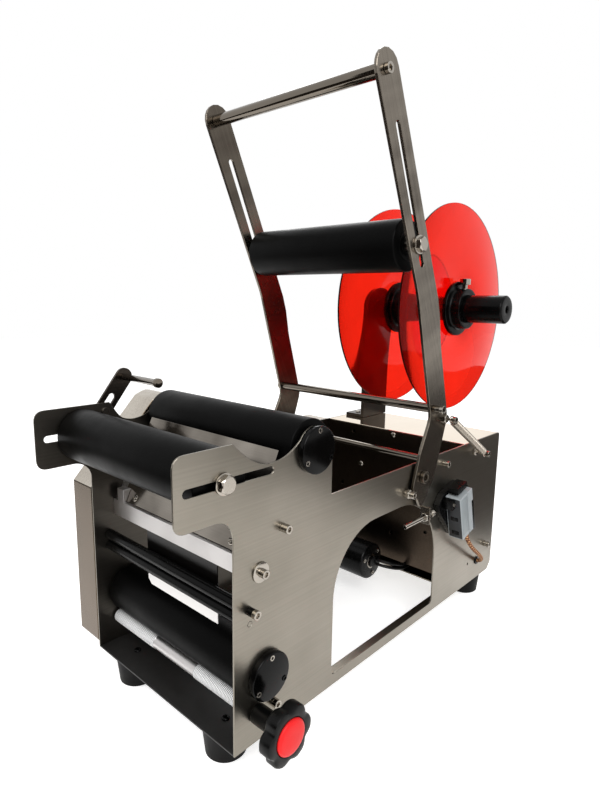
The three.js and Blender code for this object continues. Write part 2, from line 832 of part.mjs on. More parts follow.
function controlBoxPanel() {
  const shape = roundedShape([
    [betweenNear, boxPanelLow], [betweenFar, boxPanelLow], [betweenFar, plateHeight - boxSheet - seat],
    [betweenNear, plateHeight - boxSheet - seat]]);
  for (const [across, up] of panelHoleShares) {
    shape.holes.push(roundHole(across * farFace, up * plateHeight, panelHoleR));
  }
  const screws = panelScrewShares.map(([across, up]) => (
    panScrew().rotateY(-Math.PI / 2).translate(boxFront, across * farFace, up * plateHeight)));
  return join(sheetYZ(shape, boxFront, boxFront + boxSheet, 4), ...screws);
}

// Pan-head screw at the origin whose head points to +Z
function panScrew() {
  return turned([
    [0, -boxSheet / 2], [panelScrewR, -boxSheet / 2],
    [panelScrewR * 0.94, panelScrewHead / 2], [panelScrewR * 0.6, panelScrewHead], [0, panelScrewHead]], 0, 0, 8)
    .rotateX(Math.PI / 2);
}

const peelLean = Math.atan2(peelTopX - peelLowX, peelTopZ - peelLowZ);

function powerInlet() {
  const mid = farFace - inletInset;
  const frame = box(plateLength + seat, plateLength + seat + inletRim, mid - inletWidth / 2, mid + inletWidth / 2,
    inletZ - inletHeight / 2 - inletLip / 2, inletZ + inletHeight / 2 + inletLip / 2);
  const body = box(plateLength - inletDepth, plateLength + inletRim, mid - inletWidth / 2 + inletLip,
    mid + inletWidth / 2 - inletLip, inletZ - inletHeight / 2, inletZ + inletHeight / 2);
  const socket = box(plateLength - inletPinLength, plateLength + overrun, mid - inletWidth / 2 + 2 * inletLip,
    mid + inletWidth / 2 - 2 * inletLip, inletZ - inletHeight / 2 + inletRim, inletZ + inletHeight / 2 - inletRim);
  const pins = [-1, 0, 1].map((step) => box(plateLength - inletPinLength - inletRim, plateLength - inletRim,
    mid + step * inletPinPitch - inletPinWidth / 2, mid + step * inletPinPitch + inletPinWidth / 2,
    inletZ - inletPinWidth, inletZ + inletPinWidth));
  return join(cut(join(frame, body), socket), ...pins);
}

addPiece('front_bottom_plate', boltedBottom(0, frontPlateDepth, frontFootX, frontFootInset), blackOxide);
addPiece('control_box_shell', controlBoxShell(), brushedSteel);
addPiece('control_box_front_panel', controlBoxPanel(), paleSteel);
addPiece('power_inlet', powerInlet(), blackPlastic);

// Rubber feet
function rubberFoot() {
  return turned([
    [0, -footHeight], [footBottomR - footBevel, -footHeight], [footBottomR, footBevel - footHeight],
    [footTopR, -footBevel - seat], [footTopR - footBevel / 2, -seat], [footBoltR + seat, -seat],
    [footBoltR + seat, -footBoreDepth], [0, -footBoreDepth]], 0, 0, 16).rotateX(Math.PI / 2);
}

for (const [name, x, y] of [
  ['near_front_foot', frontFootX, frontFootInset], ['far_front_foot', frontFootX, farFace - frontFootInset],
  ['near_rear_foot', rearFootX, rearFootInset], ['far_rear_foot', rearFootX, farFace - rearFootInset]]) {
  addPiece(name, rubberFoot().translate(x, y, 0), blackRubber);
}

// Bearing caps: blind on the near plate, open on the far one, where the journals reach the belts
function nearCap(x, z) {
  const face = -seat - capDepth;
  const body = turned([
    [0, face], [capR - 1.5 * seat, face], [capR, -capDepth], [capR, -seat], [journalR + seat, -seat],
    [journalR + seat, face * 0.75], [0, face * 0.75]], x, z);
  return join(body, ...circleSpots(x, z, capScrewCircle, 3, 90).map(([sx, sz]) => (
    rod(capScrewR, face - capScrewHead, face + weld, sx, sz, 10))));
}

function farCap(x, z) {
  const face = farFace + seat + capDepth;
  const body = tube(farCapR, journalR + seat, farFace + seat, face, x, z);
  return join(body, ...circleSpots(x, z, farCapScrewCircle, 3, 90).map(([sx, sz]) => (
    rod(capScrewR, face - weld, face + capScrewHead, sx, sz, 10))));
}

for (const [level, [x, z]] of [['upper', capSpots[0]], ['lower', capSpots[1]]]) {
  addPiece(`${level}_bearing_cap`, nearCap(x, z), blackOxide);
  addPiece(`${level}_far_bearing`, farCap(x, z), blackOxide);
}

// Guide rod across the well
addPiece('chrome_guide_rod', rod(guideRodR, betweenNear, betweenFar, guideRodX, guideRodZ, 20), paleSteel);

// Rollers that drive and steer the label web
function drivenRoller(radius, x, z) {
  return turned([
    [0, -capDepth * 0.7], [journalR, -capDepth * 0.7], [journalR, rollerStart], [radius, rollerStart],
    [radius, rollerEnd], [journalR, rollerEnd], [journalR, journalEnd], [0, journalEnd]], x, z, 24);
}

function pulleyRadius(teeth) {
  return teeth * toothPitch / (2 * Math.PI);
}

// Toothed pulley: one notch for each tooth of the belt
function toothedPulley(teeth, bore, y0, y1, x, z) {
  const outer = pulleyRadius(teeth) - toothDepth / 4;
  const shape = new THREE.Shape();
  for (let i = 0; i < teeth; i++) {
    [[0, outer], [0.5, outer], [0.75, outer - toothDepth]].forEach(([share, r], k) => {
      const angle = 2 * Math.PI * (i + share) / teeth;
      const [px, pz] = [r * Math.cos(angle), r * Math.sin(angle)];
      if (i + k === 0) {
        shape.moveTo(px, pz);
      } else {
        shape.lineTo(px, pz);
      }
    });
  }
  shape.closePath();
  if (bore > 0) {
    shape.holes.push(roundHole(0, 0, bore));
  }
  return sheetXZ(shape, y0, y1, 7).translate(x, 0, z);
}

const firstBeltY = farFace + beltStandOff;
const secondBeltY = firstBeltY + pulleyWidth + pulleyGap;
const journalEnd = secondBeltY + pulleyWidth + pulleyGap;

addPiece('top_drive_roller', drivenRoller(driveRollerR, bossX, bossZ), blackRubber);
addPiece('traction_roller', drivenRoller(tractionR, tractionX, tractionZ), blackRubber);
addPiece('top_roller_pulley', toothedPulley(
  rollerPulleyTeeth, journalR + seat, secondBeltY, secondBeltY + pulleyWidth, bossX, bossZ), aluminium);
addPiece('traction_pulley', toothedPulley(
  tractionPulleyTeeth, journalR + seat, firstBeltY, secondBeltY + pulleyWidth, tractionX, tractionZ), aluminium);

function knurledRoller() {
  const [start, end] = [rollerStart, rollerEnd];
  const near = middleY - pinchMiddle / 2;
  const far = middleY + pinchMiddle / 2;
  const hubEnd = -knobFaceY + knobDepth * 0.4;
  return turned([
    [0, hubEnd], [pinchJournalR, hubEnd], [pinchJournalR, start], [pinchR, start], [pinchR, near],
    [pinchMiddleR, near], [pinchMiddleR, far], [pinchR, far], [pinchR, end], [pinchJournalR, end],
    [pinchJournalR, farFace], [0, farFace]], pinchX, pinchZ, 18);
}

// Lobed grip: each lobe swells between two finger dips
function handKnob() {
  const steps = 7 * knobLobes;
  const shape = new THREE.Shape();
  for (let i = 0; i < steps; i++) {
    const angle = 2 * Math.PI * i / steps;
    const wave = (1 - Math.cos(knobLobes * angle)) / 2;
    const radius = knobR - knobDip * Math.pow(wave, 2);
    shape[i ? 'lineTo' : 'moveTo'](radius * Math.cos(angle), radius * Math.sin(angle));
  }
  shape.closePath();
  const depth = knobDepth - 2 * knobEdge;
  const grip = new THREE.ExtrudeGeometry(shape, {
    depth, bevelThickness: knobEdge, bevelSize: knobEdge, bevelOffset: -knobEdge, bevelSegments: 1 });
  grip.rotateX(Math.PI / 2).translate(pinchX, -knobFaceY + knobDepth - knobEdge, pinchZ);
  const hub = rod(knobHubR, -knobFaceY + knobDepth - knobEdge, -plate, pinchX, pinchZ, 20);
  const bore = rod(pinchJournalR + seat, -knobFaceY + knobDepth * 0.4 - seat, overrun, pinchX, pinchZ, 16);
  const capSeat = rod(knobCapR + seat, -knobFaceY - overrun, -knobFaceY + knobCapSeat + seat, pinchX, pinchZ, 24);
  return cut(join(grip, hub), bore, capSeat);
}

function knobCap() {
  const face = -knobFaceY + knobCapSeat;
  return turned([
    [0, face], [knobCapR, face], [knobCapR, -knobFaceY], [knobCapR - knobCapRise, -knobFaceY - knobCapRise],
    [knobCapR * 0.6, -knobFaceY - knobCapRise * 1.2], [0, -knobFaceY - knobCapRise * 1.3]], pinchX, pinchZ, 24);
}

addPiece('knurled_pinch_roller', knurledRoller(), aluminium);
addPiece('hand_knob', handKnob(), blackPlastic);
addPiece('knob_cap', knobCap(), redPlastic);

// Guide roller turned with its journals, the near one ending in a socket head or flush with the plate
function guideRoller(x, z, headReach) {
  const [start, end] = [nearInner + 2 * seat, farInner - 2 * seat];
  const near = headReach > 0
    ? [[0, -headReach], [capHeadR, -headReach], [capHeadR, -seat], [guideJournalR, -seat]]
    : [[0, nearFace], [guideJournalR, nearFace]];
  return turned([
    ...near, [guideJournalR, start], [guideRollerR, start], [guideRollerR, end], [guideJournalR, end],
    [guideJournalR, farFace], [0, farFace]], x, z, 16);
}

addPiece('upper_guide_roller', guideRoller(...guideSpots[0], guideScrewStandOff), blackPlastic);
addPiece('lower_guide_roller', guideRoller(...guideSpots[1], 0), blackPlastic);

// Peel bar with a nose behind the peel plate, the plate itself, its edge blocks and the label guide plate
const peelDir = [Math.sin(peelLean), Math.cos(peelLean)];
const peelNormal = [Math.cos(peelLean), -Math.sin(peelLean)];
function peelPoint(along, out) {
  return [
    peelLowX + along * peelDir[0] + out * peelNormal[0], peelLowZ + along * peelDir[1] + out * peelNormal[1]];
}
const peelLength = Math.hypot(peelTopX - peelLowX, peelTopZ - peelLowZ);

const peelScrewYs = [peelScrewInset, farFace - peelScrewInset];

function peelBar() {
  const backing = peelSheet + seat;
  const lowZ = peelPoint(0, backing)[1];
  const section = roundedShape([
    [barFront, barLow], [barFront + barDepth, barLow], [barFront + barDepth, barTop + barRise],
    peelPoint((barTop + barRise - lowZ) / peelDir[1], backing), peelPoint((barTop - lowZ) / peelDir[1], backing),
    [barFront, barTop]]);
  return join(sheetXZ(section, betweenNear, betweenFar), edgeBlock(blockInset),
    edgeBlock(farFace - blockInset - blockWidth));
}

function peelPlate() {
  const section = roundedShape([
    peelPoint(0, 0), peelPoint(0, peelSheet), peelPoint(peelLength - peelNose, peelSheet),
    peelPoint(peelLength, peelSheet / 2), peelPoint(peelLength, 0)]);
  const screws = peelScrewYs.map((y) => {
    const [x, z] = peelPoint(peelScrewUp, 0);
    return panScrew().rotateY(peelLean - Math.PI / 2).translate(x, y, z);
  });
  return join(sheetXZ(section, peelInset, farFace - peelInset), ...screws);
}

// Wedge in front of the peel plate, standing on the bar
function edgeBlock(y0) {
  const front = -seat;
  const foot = (barTop - peelLowZ) / peelDir[1];
  const section = roundedShape([
    [barFront, barTop - weld], [peelPoint(foot, front)[0], barTop - weld],
    peelPoint(blockHeight / peelDir[1], front), [barFront, peelPoint(blockHeight / peelDir[1], front)[1]]]);
  return sheetXZ(section, y0, y0 + blockWidth);
}

function labelGuidePlate() {
  const height = barLow - seat - guideLow;
  const shape = new THREE.Shape();
  shape.moveTo(guideStart, guideLow + height);
  shape.lineTo(guideStart, guideLow);
  shape.lineTo(guideEnd - guideTaper, guideLow);
  shape.lineTo(guideEnd, guideLow + guideTaper);
  shape.lineTo(guideEnd, guideLow + height);
  shape.closePath();
  const foot = box(guideFront, guideFront + guideFoot, guideStart, guideEnd, barLow - seat - guideSheet, barLow - seat);
  return join(sheetYZ(shape, guideFront, guideFront + guideSheet), foot);
}

addPiece('peel_bar', peelBar(), aluminium);
addPiece('peel_plate', peelPlate(), paleSteel);
addPiece('label_guide_plate', labelGuidePlate(), paleSteel);

// Ear roller, its shaft and its clamping bolts
addPiece('ear_roller', tube(earRollerR, earShaftR + seat, nearInner + earRollerEndGap, farInner - earRollerEndGap,
  earRollerX, earSlotZ, 24), blackRubber);
const nearEarBolt = hexBolt(earRollerX, earSlotZ, -seat, earHexFlats, earHexHeight, earBoltR, 2 * plate,
  earWasherR, earWasher);
addPiece('ear_roller_shaft', join(rod(earShaftR, nearInner + seat, farInner - seat, earRollerX, earSlotZ),
  nearEarBolt, mirroredInY(nearEarBolt)), zincSteel);

// Press arms
function armPoint([reachShare, riseShare, cornerShare]) {
  return [pivotX - reachShare * armReach, pivotZ + riseShare * armRise, cornerShare * armRise];
}

function pressArmShape() {
  const up = new THREE.Vector2(-Math.sin(armLean), Math.cos(armLean)).multiplyScalar(armEndR);
  const [topX, topZ] = [pivotX - armReach + up.x, pivotZ + armRise + up.y];
  const crown = [[topX + up.y, topZ - up.x, armEndR], [topX - up.y, topZ + up.x, armEndR]];
  const shape = roundedShape([...crown, ...armFrontShares.map(armPoint), ...armRearShares.map(armPoint)]);
  shape.holes.push(slotPath(armSlotLowX, armSlotLowZ, armSlotTopX, armSlotTopZ, armSlotWidth));
  shape.holes.push(roundHole(pivotX, pivotZ, pivotShoulderR + seat));
  shape.holes.push(roundHole(handleX, handleZ, rodScrewShankR + seat));
  shape.holes.push(roundHole(lowerRodX, lowerRodZ, rodScrewShankR + seat));
  return shape;
}

function nearPressArm() {
  const shape = pressArmShape();
  const arm = sheetXZ(shape, armNearOuter, -armStandOff);
  const tab = box(tabX, tabX + tabSheet, armNearOuter - tabReach, armNearOuter + armSheet / 2, tabLow,
    tabLow + tabHeight);
  const bore = rod(adjustR + seat, -overrun, overrun, 0, 0, 12).rotateZ(-Math.PI / 2)
    .translate(tabX, armNearOuter - tabReach / 2, adjustZ);
  return cut(join(arm, tab, springStud(springArmX, springArmZ, armNearOuter)), bore);
}

addPiece('near_press_arm', nearPressArm(), brushedSteel);
addPiece('far_press_arm', sheetXZ(pressArmShape(), armFarInner, armFarInner + armSheet), brushedSteel);
const rodStart = seat - armStandOff;
const rodEnd = armFarInner - seat;
// Rod between the arms, held by a socket-head screw through each arm
function framedRod(radius, x, z, nearReach, farReach) {
  const end = (reach) => capScrew(x, z, armNearOuter - seat, rodScrewR, reach, rodScrewShankR, 2 * armSheet);
  return join(rod(radius, rodStart, rodEnd, x, z), end(nearReach), mirroredInY(end(farReach)));
}

addPiece('handle_rod', framedRod(handleR, handleX, handleZ, rodScrewHead, rodScrewHead), paleSteel);
addPiece('lower_frame_rod', framedRod(
  lowerRodR, lowerRodX, lowerRodZ, lowerRodScrewReach, rodScrewHead), paleSteel);

function pivotScrew() {
  const outer = armNearOuter - seat;
  return turned([
    [0, outer - pivotScrewHead], [pivotScrewR, outer - pivotScrewHead], [pivotScrewR, outer],
    [pivotShoulderR, outer], [pivotShoulderR, -armStandOff + seat], [pivotWasherR, -armStandOff + seat],
    [pivotWasherR, -seat], [pivotShankR, -seat], [pivotShankR, nearInner + seat], [pivotNutR, nearInner + seat],
    [pivotNutR, nearInner + pivotNut], [0, nearInner + pivotNut]], pivotX, pivotZ, 14);
}

function adjustingScrew() {
  return turned([
    [0, adjustFront], [adjustR, adjustFront], [adjustR, tabX - seat - adjustNut], [adjustNutR, tabX - seat - adjustNut],
    [adjustNutR, tabX - seat], [adjustR, tabX - seat], [adjustR, tabX + tabSheet + seat],
    [adjustNutR, tabX + tabSheet + seat], [adjustNutR, tabX + tabSheet + seat + adjustNut],
    [adjustR, tabX + tabSheet + seat + adjustNut], [adjustR, adjustRear - adjustHead],
    [adjustHeadR, adjustRear - adjustHead], [adjustHeadR, adjustRear], [0, adjustRear]], 0, 0, 12)
    .rotateZ(-Math.PI / 2).translate(0, armNearOuter - tabReach / 2, adjustZ);
}

addPiece('near_pivot_screw', pivotScrew(), zincSteel);
addPiece('far_pivot_screw', mirroredInY(pivotScrew()), zincSteel);
addPiece('adjusting_screw', adjustingScrew(), zincSteel);

// Press roller with a ring bearing let into each end
function pressRoller() {
  const [start, end] = [pressRollerEndGap, farFace - pressRollerEndGap];
  const bore = pressShaftR + seat;
  return turned([
    [bore, start], [bearingBossR, start], [bearingBossR, start + bearingRecess], [bearingR, start + bearingRecess],
    [bearingR, start], [pressRollerR, start], [pressRollerR, end], [bearingR, end],
    [bearingR, end - bearingRecess], [bearingBossR, end - bearingRecess],
    [bearingBossR, end], [bore, end], [bore, start]], pressRollerX, pressRollerZ);
}

const nearPressBolt = hexBolt(pressRollerX, pressRollerZ, armNearOuter - seat, pressHexFlats, pressHexHeight,
  pressBoltR, 2 * armSheet, pressWasherR, pressWasher);
addPiece('press_roller', pressRoller(), blackRubber);
addPiece('press_roller_shaft', join(rod(pressShaftR, rodStart, rodEnd, pressRollerX, pressRollerZ),
  nearPressBolt, mirroredInY(nearPressBolt)), zincSteel);

// Return spring: a loop round each screw, a lead and the curls between them, as one wire
function springPoints() {
  const from = new THREE.Vector3(springArmX, springY, springArmZ);
  const to = new THREE.Vector3(springPostX, springY, springPostZ);
  const along = to.clone().sub(from).normalize();
  const across = new THREE.Vector3(-along.z, 0, along.x);
  const outward = new THREE.Vector3(0, -1, 0);
  const span = from.distanceTo(to);
  const loopR = springCoilR;
  const coilSpan = span - 2 * springLead;
  const curls = Math.round(coilSpan / springPitch);
  const at = (u, v, w) => from.clone().addScaledVector(along, u).addScaledVector(across, v)
    .addScaledVector(outward, w);
  const points = [];
  for (let i = 0; i <= springLoopSteps; i++) {
    const angle = 2 * Math.PI - 1.5 * Math.PI * i / springLoopSteps;
    points.push(at(loopR * Math.cos(angle), loopR * Math.sin(angle), 0));
  }
  for (let i = 0; i <= curls * springCurlSteps; i++) {
    const angle = 2 * Math.PI * i / springCurlSteps;
    const u = springLead + coilSpan * i / (curls * springCurlSteps);
    points.push(at(u, springCoilR * Math.cos(angle), springCoilR * Math.sin(angle)));
  }
  for (let i = 0; i <= springLoopSteps; i++) {
    const angle = Math.PI / 2 - 1.5 * Math.PI * i / springLoopSteps;
    points.push(at(span + loopR * Math.cos(angle), loopR * Math.sin(angle), 0));
  }
  return points;
}

// Least gap between stretches of a wire that lie more than a few steps apart along it
function leastGap(points, radius, apart) {
  let least = Infinity;
  for (let i = 0; i < points.length; i++) {
    for (let j = i + apart; j < points.length; j++) {
      least = Math.min(least, points[i].distanceTo(points[j]) - 2 * radius);
    }
  }
  return least;
}

const springRoute = springPoints();
const springGap = leastGap(springRoute, springWire / 2, springCurlSteps - 2);
console.log(`return spring: least gap between curls ${springGap.toFixed(2)} mm`);
addPiece('spring_post', springStud(springPostX, springPostZ, -seat), zincSteel);
addPiece('return_spring', wireAlong(springRoute, springWire / 2, springSides), zincSteel);

// Label reel: the shaft turns in the post with both discs, and the near disc slides along it
function reelShaft() {
  const shoulder = postNearY - seat;
  const back = postNearY + postSheet + seat;
  return turned([
    [0, reelShaftNear + reelBoreDepth], [reelBoreR, reelShaftNear + reelBoreDepth], [reelBoreR, reelShaftNear],
    [reelShaftR, reelShaftNear], [reelShaftR, shoulder],
    [postJournalR, shoulder], [postJournalR, back], [postNutR, back], [postNutR, back + postNut],
    [0, back + postNut]], reelX, reelZ);
}

function labelDisc(y) {
  return tube(discR, reelShaftR + seat, y, y + discSheet, reelX, reelZ, 40);
}

function discHub(yDisc, bored) {
  const near = yDisc - seat - hubDepth;
  const far = yDisc - seat;
  const body = turned([
    [reelShaftR + seat, near], [hubNeckR, near], [hubNeckR, far - hubFlange], [hubR, far - hubFlange],
    [hubR, far], [reelShaftR + seat, far], [reelShaftR + seat, near]], reelX, reelZ);
  if (!bored) {
    return body;
  }
  const bore = rod(thumbScrewR + seat, 0, reelShaftR + hubR, 0, 0, 12).rotateX(Math.PI / 2)
    .translate(reelX, (near + far - hubFlange) / 2, reelZ);
  return cut(body, bore);
}

function thumbScrew() {
  const low = reelShaftR + 2 * seat;
  const high = hubNeckR + thumbReach;
  return turned([
    [0, low], [thumbScrewR, low], [thumbScrewR, high], [thumbHeadR, high], [thumbHeadR, high + thumbHead],
    [0, high + thumbHead]], 0, 0, 12).rotateX(Math.PI / 2)
    .translate(reelX, nearDiscY - seat - (hubDepth + hubFlange) / 2, reelZ);
}

function reelPost() {
  const half = postWidth / 2;
  const shape = new THREE.Shape();
  shape.moveTo(reelX - half, plateHeight + seat);
  shape.lineTo(reelX + half, plateHeight + seat);
  shape.lineTo(reelX + half, reelZ);
  shape.absarc(reelX, reelZ, half, 0, Math.PI, false);
  shape.closePath();
  shape.holes.push(roundHole(reelX, reelZ, postJournalR + seat));
  const post = sheetXZ(shape, postNearY, postNearY + postSheet, 10);
  const foot = box(reelX - half, reelX + half, postNearY, postNearY + postSheet + postFoot, plateHeight + seat,
    plateHeight + seat + postFootSheet);
  const screws = [postScrewInset - half, half - postScrewInset].map((along) => (
    panScrew().translate(reelX + along, postNearY + postSheet + postFoot / 2, plateHeight + seat + postFootSheet)));
  return join(post, foot, ...screws);
}

addPiece('reel_post', reelPost(), brushedSteel);
addPiece('reel_shaft', reelShaft(), blackPlastic);
addPiece('near_label_disc', labelDisc(nearDiscY), redAcrylic);
addPiece('far_label_disc', labelDisc(farDiscY), redAcrylic);
addPiece('near_disc_hub', discHub(nearDiscY, true), blackPlastic);
addPiece('far_disc_hub', discHub(farDiscY, false), blackPlastic);
addPiece('hub_thumb_screw', thumbScrew(), zincSteel);

// Bottle stop: a slotted lever clamped on the far ear, with a rod over the rollers
function stopTip(length) {
  return [stopClampX + length * Math.cos(stopArmAngle), stopClampZ + length * Math.sin(stopArmAngle)];
}

function bottleStopArm() {
  const [x, z] = stopTip(stopArmLength);
  const shape = slotShape(stopClampX, stopClampZ, x, z, stopArmWidth);
  shape.holes.push(slotPath(stopClampX, stopClampZ, ...stopTip(stopSlotLength), stopSlotWidth));
  shape.holes.push(roundHole(x, z, capShankR + seat));
  return sheetXZ(shape, farFace + stopArmGap, farFace + stopArmGap + stopArmSheet, 8);
}

function bottleStopRod() {
  const [x, z] = stopTip(stopArmLength);
  const armNear = farFace + stopArmGap - seat;
  const armFar = farFace + stopArmGap + stopArmSheet + seat;
  const tip = farInner - stopRodReach;
  return turned([
    [0, tip - stopHead], [stopHeadR, tip - stopHead], [stopHeadR, tip], [stopRodR, tip], [stopRodR, armNear], [capShankR, armNear],
    [capShankR, armFar], [stopHeadR, armFar], [stopHeadR, armFar + stopHead], [0, armFar + stopHead]], x, z, 16);
}

addPiece('bottle_stop_arm', bottleStopArm(), brushedSteel);
addPiece('bottle_stop_rod', bottleStopRod(), paleSteel);

// Side cover: one bent sheet round the belts, open towards the far plate
function coverOutline(inset) {
  return roundedShape([
    [coverFront + inset, coverLow + inset, 3], [coverRear - inset, coverLow + inset, 3],
    [coverRear - inset, plateHeight - inset, 3], [coverBackX - inset, plateHeight - inset, 3],
    [coverBackX - inset, coverBackZ - inset, 8], [coverRidgeX, coverRidgeZ - inset, 12],
    [coverSlantX + inset / 2, coverSlantZ - inset, 6],
    [coverFront + inset, coverKneeZ - inset / 2, 3]].map(([x, z, r]) => [x, z, r * coverSheet]));
}

function sideCover() {
  const near = farFace + seat;
  const far = farFace + coverDepth;
  const outer = sheetXZ(coverOutline(0), near, far, 4);
  const inner = sheetXZ(coverOutline(coverSheet), near - overrun, far - coverSheet, 4);
  const notch = box(armNotchFront, armNotchRear, near - overrun, near + armNotchDepth, plateHeight - overrun,
    plateHeight + overrun);
  return cut(outer, inner, notch);
}

addPiece('far_side_cover', sideCover(), brushedSteel);

// Gear motor on the far plate with its pulley, and the two toothed belts
function gearMotor() {
  const can = motorNearY + motorCanLength;
  return turned([
    [0, motorNearY - motorBoss], [motorBossR, motorNearY - motorBoss], [motorBossR, motorNearY],
    [motorR - 2, motorNearY], [motorR, motorNearY + 2], [motorR, can], [gearboxR, can + 1],
    [gearboxR, farInner - seat], [motorShaftR + 2 * seat, farInner - seat],
    [motorShaftR + 2 * seat, farInner - overrun / 2], [0, farInner - overrun / 2]], motorX, motorZ);
}

function motorPulley() {
  const hub = rod(motorShaftR, farInner - overrun / 2 + seat, firstBeltY + pulleyWidth / 2, motorX, motorZ, 16);
  return join(toothedPulley(pulleyTeeth, 0, firstBeltY, firstBeltY + pulleyWidth, motorX, motorZ), hub);
}

// Belt round two pulleys: straight runs on the outer tangents
function beltShape(x0, z0, r0, x1, z1, r1, Kind) {
  const heading = Math.atan2(z1 - z0, x1 - x0);
  const open = Math.acos((r0 - r1) / Math.hypot(x1 - x0, z1 - z0));
  const shape = new Kind();
  shape.absarc(x1, z1, r1, heading - open, heading + open, false);
  shape.absarc(x0, z0, r0, heading + open, heading + 2 * Math.PI - open, false);
  shape.closePath();
  return shape;
}

function belt(x0, z0, teeth0, x1, z1, teeth1, y) {
  const [r0, r1] = [pulleyRadius(teeth0) + beltClearance, pulleyRadius(teeth1) + beltClearance];
  const shape = beltShape(x0, z0, r0 + beltThickness, x1, z1, r1 + beltThickness, THREE.Shape);
  shape.holes.push(beltShape(x0, z0, r0, x1, z1, r1, THREE.Path));
  const start = y + (pulleyWidth - beltWidth) / 2;
  return sheetXZ(shape, start, start + beltWidth, 8);
}

addPiece('gear_motor', gearMotor(), blackOxide);
addPiece('motor_pulley', motorPulley(), aluminium);
addPiece('motor_belt', belt(
  tractionX, tractionZ, tractionPulleyTeeth, motorX, motorZ, pulleyTeeth, firstBeltY), blackRubber);
addPiece('roller_belt', belt(
  tractionX, tractionZ, tractionPulleyTeeth, bossX, bossZ, rollerPulleyTeeth, secondBeltY), blackRubber);

// Limit switch, leaning towards the press arm
const switchGroup = new THREE.Group();
switchGroup.position.set(switchX, 0, switchZ);
switchGroup.rotation.y = switchTilt;
machine.add(switchGroup);

function switchBody() {
  const [w, h] = [switchWidth / 2, switchHeight / 2];
  const body = box(-w, w, -switchFace, -switchBack, -h, h);
  const rib = box(w * 0.1, w * 0.2, -switchFace - overrun, switchRib - switchFace, -overrun - h, overrun + h);
  return cut(body, rib, switchStem(seat, switchTravel));
}

// Stem of the button, or the socket it slides in with room for its travel
function switchStem(gap, travel) {
  const middle = -(switchFace + switchBack) / 2;
  return box(-switchStemHalf - gap, switchStemHalf + gap, middle - switchStemHalf - gap,
    middle + switchStemHalf + gap, switchHeight / 2 - switchStemDepth - gap - travel,
    switchHeight / 2 + switchCapHeight);
}

function switchBracket() {
  const [w, h] = [switchWidth / 2, switchHeight / 2];
  const back = sheetXZ(roundedShape([
    [-w * bracketTaperShare, -h - bracketWrap, 1], [w + bracketWrap, -h - bracketWrap, 1],
    [w + bracketWrap, h + bracketWrap, 1], [bracketCutWidth - w - bracketReach, h + bracketWrap, 1],
    [-w - bracketReach, h + bracketWrap - bracketCutHeight, 1], [-w - bracketReach, h - bracketReach, 1]]),
  -bracketThickness, -seat);
  const wrap = box(w + seat, w + bracketWrap, -switchFace * 0.75, -bracketThickness / 2, -h - bracketWrap, h);
  const under = box(0, w + bracketWrap, -switchFace * 0.75, -bracketThickness / 2, -h - bracketWrap, -h - seat);
  const leadNotch = box(w * 0.1, w * 0.75, -switchFace * 0.75 - overrun, -switchBack - seat, -h - overrun, -h + seat);
  return cut(join(back, wrap, under), leadNotch);
}

function switchButton() {
  const low = switchHeight / 2 + switchTravel + seat;
  const cap = box(-switchCapWidth / 2, switchCapWidth / 2, -switchFace * 0.85, -switchBack - 2 * seat,
    low, low + switchCapHeight);
  return join(cap, switchStem(0, 0));
}

addPiece('limit_switch_body', switchBody(), greyPlastic, switchGroup);
addPiece('limit_switch_bracket', switchBracket(), blackPlastic, switchGroup);
addPiece('limit_switch_button', switchButton(), blackPlastic, switchGroup);

addPiece('switch_lead', lead(
  [switchX + switchLeadStartX, nearFace, switchZ - switchLeadStartDrop], [wireHoleX, -switchLeadOut, wireHoleZ],
  switchLeadShares, switchLeadR, 18), tanSleeve);
addPiece('motor_lead', lead(
  [motorX + motorLeadStart[0], motorNearY + motorLeadStart[1], motorZ + motorLeadStart[2]],
  [boxFront + motorLeadEnd[0], motorNearY + motorLeadEnd[1], motorLeadEnd[2]],
  motorLeadShares, motorLeadR, 12), blackRubber);

// Origin under the middle of the machine, on the table
const lengthMiddle = (reelX + discR - earReach) / 2;
const widthMiddle = (farFace + coverDepth - knobFaceY - knobCapRise * 1.3) / 2;
machine.position.set(-lengthMiddle, -widthMiddle, footHeight);

export default machine;
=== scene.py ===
"""Bottle labeling machine: finishes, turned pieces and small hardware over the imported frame."""
import json
import math

import bpy
from mathutils import Matrix, Vector

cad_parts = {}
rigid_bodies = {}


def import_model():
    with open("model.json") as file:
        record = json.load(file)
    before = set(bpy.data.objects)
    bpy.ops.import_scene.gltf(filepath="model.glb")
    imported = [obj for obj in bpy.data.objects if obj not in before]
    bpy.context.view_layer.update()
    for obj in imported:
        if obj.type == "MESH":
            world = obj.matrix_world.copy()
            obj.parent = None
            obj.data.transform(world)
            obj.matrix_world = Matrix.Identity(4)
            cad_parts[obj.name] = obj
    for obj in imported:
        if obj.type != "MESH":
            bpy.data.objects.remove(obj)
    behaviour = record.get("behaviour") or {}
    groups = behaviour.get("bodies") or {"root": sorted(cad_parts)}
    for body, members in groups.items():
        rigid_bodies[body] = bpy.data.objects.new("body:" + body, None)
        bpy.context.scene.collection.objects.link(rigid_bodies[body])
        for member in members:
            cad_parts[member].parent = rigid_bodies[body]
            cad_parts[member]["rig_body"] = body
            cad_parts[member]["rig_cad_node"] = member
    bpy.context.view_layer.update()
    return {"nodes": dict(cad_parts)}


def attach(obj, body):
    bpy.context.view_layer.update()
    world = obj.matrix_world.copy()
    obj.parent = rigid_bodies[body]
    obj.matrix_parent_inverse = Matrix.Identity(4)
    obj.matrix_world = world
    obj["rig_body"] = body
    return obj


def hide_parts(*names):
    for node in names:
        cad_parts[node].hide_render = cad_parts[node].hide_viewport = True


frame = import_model()

